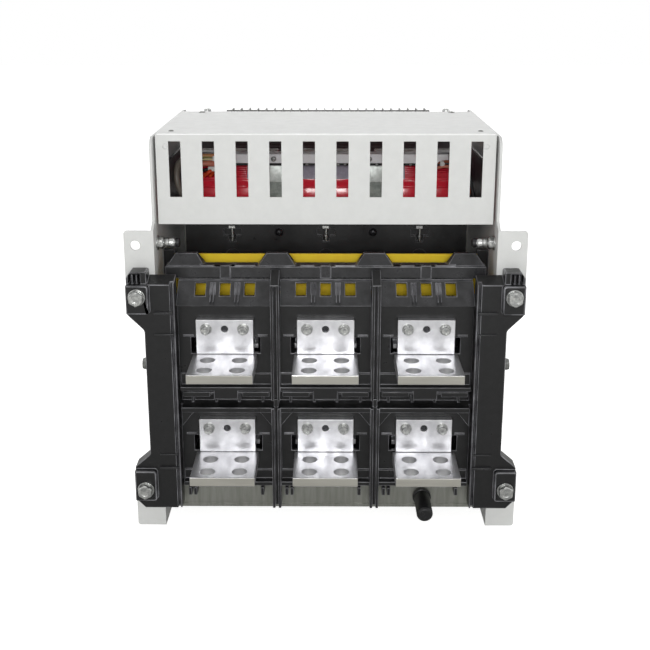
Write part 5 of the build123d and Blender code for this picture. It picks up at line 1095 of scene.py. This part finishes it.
# %% lead screw
pitch, crest, groove = 4.0, 6.0, 0.95
thread_from, thread_to, ring_step = -54.0, 144.0, 0.5
station = np.arange(thread_from + 1.0, thread_to - 0.9, ring_step)
a = np.arange(20) * 2 * np.pi / 20
phase = (station[:, None] / pitch - a[None, :] / (2 * np.pi)) % 1.0
radius = crest - groove * np.clip(1.6 - 4 * np.abs(phase - 0.5), 0, 1)
side, up = cross_frame(FRONT)
round_part = np.cos(a)[:, None] * side + np.sin(a)[:, None] * up
centre = np.array([0.0, 0.0, racking_z])
points = centre + station[:, None, None] * np.array(FRONT) + radius[:, :, None] * round_part
shapes = [surface(points)]
for plain in ([(5.0, -62.0), (5.0, -54.0), (5.9, -54.0), (5.9, -52.5), (0.4, -52.5), (0.4, -62.0)],
              [(0.4, 142.5), (5.9, 142.5), (5.9, 144.0), (5.0, 144.0), (5.0, 164.0), (0.4, 164.0)]):
    shapes.append(turned(plain, centre, FRONT))
shapes.append(hexagon_head(centre, FRONT, 10.0, 163.5, 178.0))
screw = make_piece("lead_screw_thread", merged(shapes), bright_zinc, "racking_screw")
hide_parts("racking_screw")

# %% closing spring
spring_steel = finish("oiled_spring_steel", "#6F7073", "#55565A", 6.0, (0.25, 0.36), 0.01, metallic=0.9)
turns, wire_r, coil_r = 8.5, 2.1, 10.8
spring_y, spring_low, spring_tall = 92, 176.0, 64.0
t = np.linspace(0, turns, int(turns * 30))
rise = np.clip((t - 0.9) / (turns - 1.8), 0, 1)
z = spring_low + wire_r + rise * (spring_tall - 2 * wire_r)
line = np.column_stack([coil_r * np.cos(2 * np.pi * t), spring_y + coil_r * np.sin(2 * np.pi * t), z])
ring_a = np.arange(10) * 2 * np.pi / 10
outward = (line - [0, spring_y, 0]) * [1, 1, 0] / coil_r
points = (line[:, None] + wire_r * (np.cos(ring_a)[None, :, None] * outward[:, None]
                                    + np.sin(ring_a)[None, :, None] * np.array([0, 0, 1.0])))
spring = make_piece("closing_spring_coils", surface(points), spring_steel, "breaker",
                    crease_deg=60)
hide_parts("closing_spring")

# %% [markdown]
# ## Auxiliary connector
# The connector on the crossbar is a black terminal block with a thin grey wall between each pair
# of terminals. The photograph shows 24 walls, 9.3 mm apart, just above the roof of the cover, so
# this piece replaces the plainer solid, whose walls are fewer. The block's cross-section, with its
# trough, is carried along X, and one wall is repeated. A screw lies between each two walls.

# %% connector and its screws
wall_grey = finish("grey_nylon_barrier", "#9A9A98", "#8C8C8A", 6.0, (0.4, 0.5), 0.01, fine_mm=0.8)
trough = [(52.0, 371.0), (76.0, 371.0), (76.0, 384.0), (68.0, 384.0), (68.0, 380.0), (60.0, 380.0),
          (60.0, 384.0), (52.0, 384.0)]
connector = make_piece("connector_body", carried(trough, "x", -113.0, 116.0), moulding, "cradle",
                       bevel_mm=0.3)
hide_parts("secondary_connector")
wall_x, spacing, wall_half, wall_count = -104.1, 9.27, 0.6, 24
wall_outline = [(52.0, 371.2), (76.0, 371.2), (76.0, 389.6), (74.6, 391.0), (53.4, 391.0),
                (52.0, 389.6)]
walls = [carried(wall_outline, "x", wall_x + n * spacing - wall_half, wall_x + n * spacing + wall_half)
         for n in range(wall_count)]
walls.append(carried([(71.5, 383.8), (73.0, 383.8), (73.0, 388.6), (71.5, 388.6)], "x", -112.0, 115.0))
make_piece("connector_walls", merged(walls), wall_grey, "cradle", bevel_mm=0.15)
shapes = [pan_head((wall_x + (n + 0.5) * spacing, 64.0, 380.0), UP, 3.1, 1.8, rings=7, sides=24)
          for n in range(wall_count - 1)]
make_piece("connector_screws", merged(shapes), bright_zinc, "cradle")

# %% crossbar posts and wire ducts
# A headed post stands at each end of the connector. A closed duct stands at each end of the
# auxiliary plug and leads the wires down to the front.
post = [(0.3, 371.0), (2.4, 371.0), (2.4, 387.4), (4.0, 387.4), (4.0, 389.6), (3.2, 391.2), (0.3, 391.5)]
posts = merged([turned(post, (x, 64.0, 0.0), UP, sides=24) for x in (-132.5, 132.5)])
make_piece("crossbar_posts", posts, bright_zinc, "cradle")
duct_wide = 38.0
ducts = [slab((x, 85.5, 304.0), (x + duct_wide, 117.5, 357.5)) for x in (-152.5, 114.5)]
make_piece("wire_ducts", merged(ducts), plug_grey, "breaker", bevel_mm=1.0)

# %% [markdown]
# ## Colour handling
# The Standard view shows each colour as it is written.

# %% close
bpy.context.scene.view_settings.view_transform = "Standard"
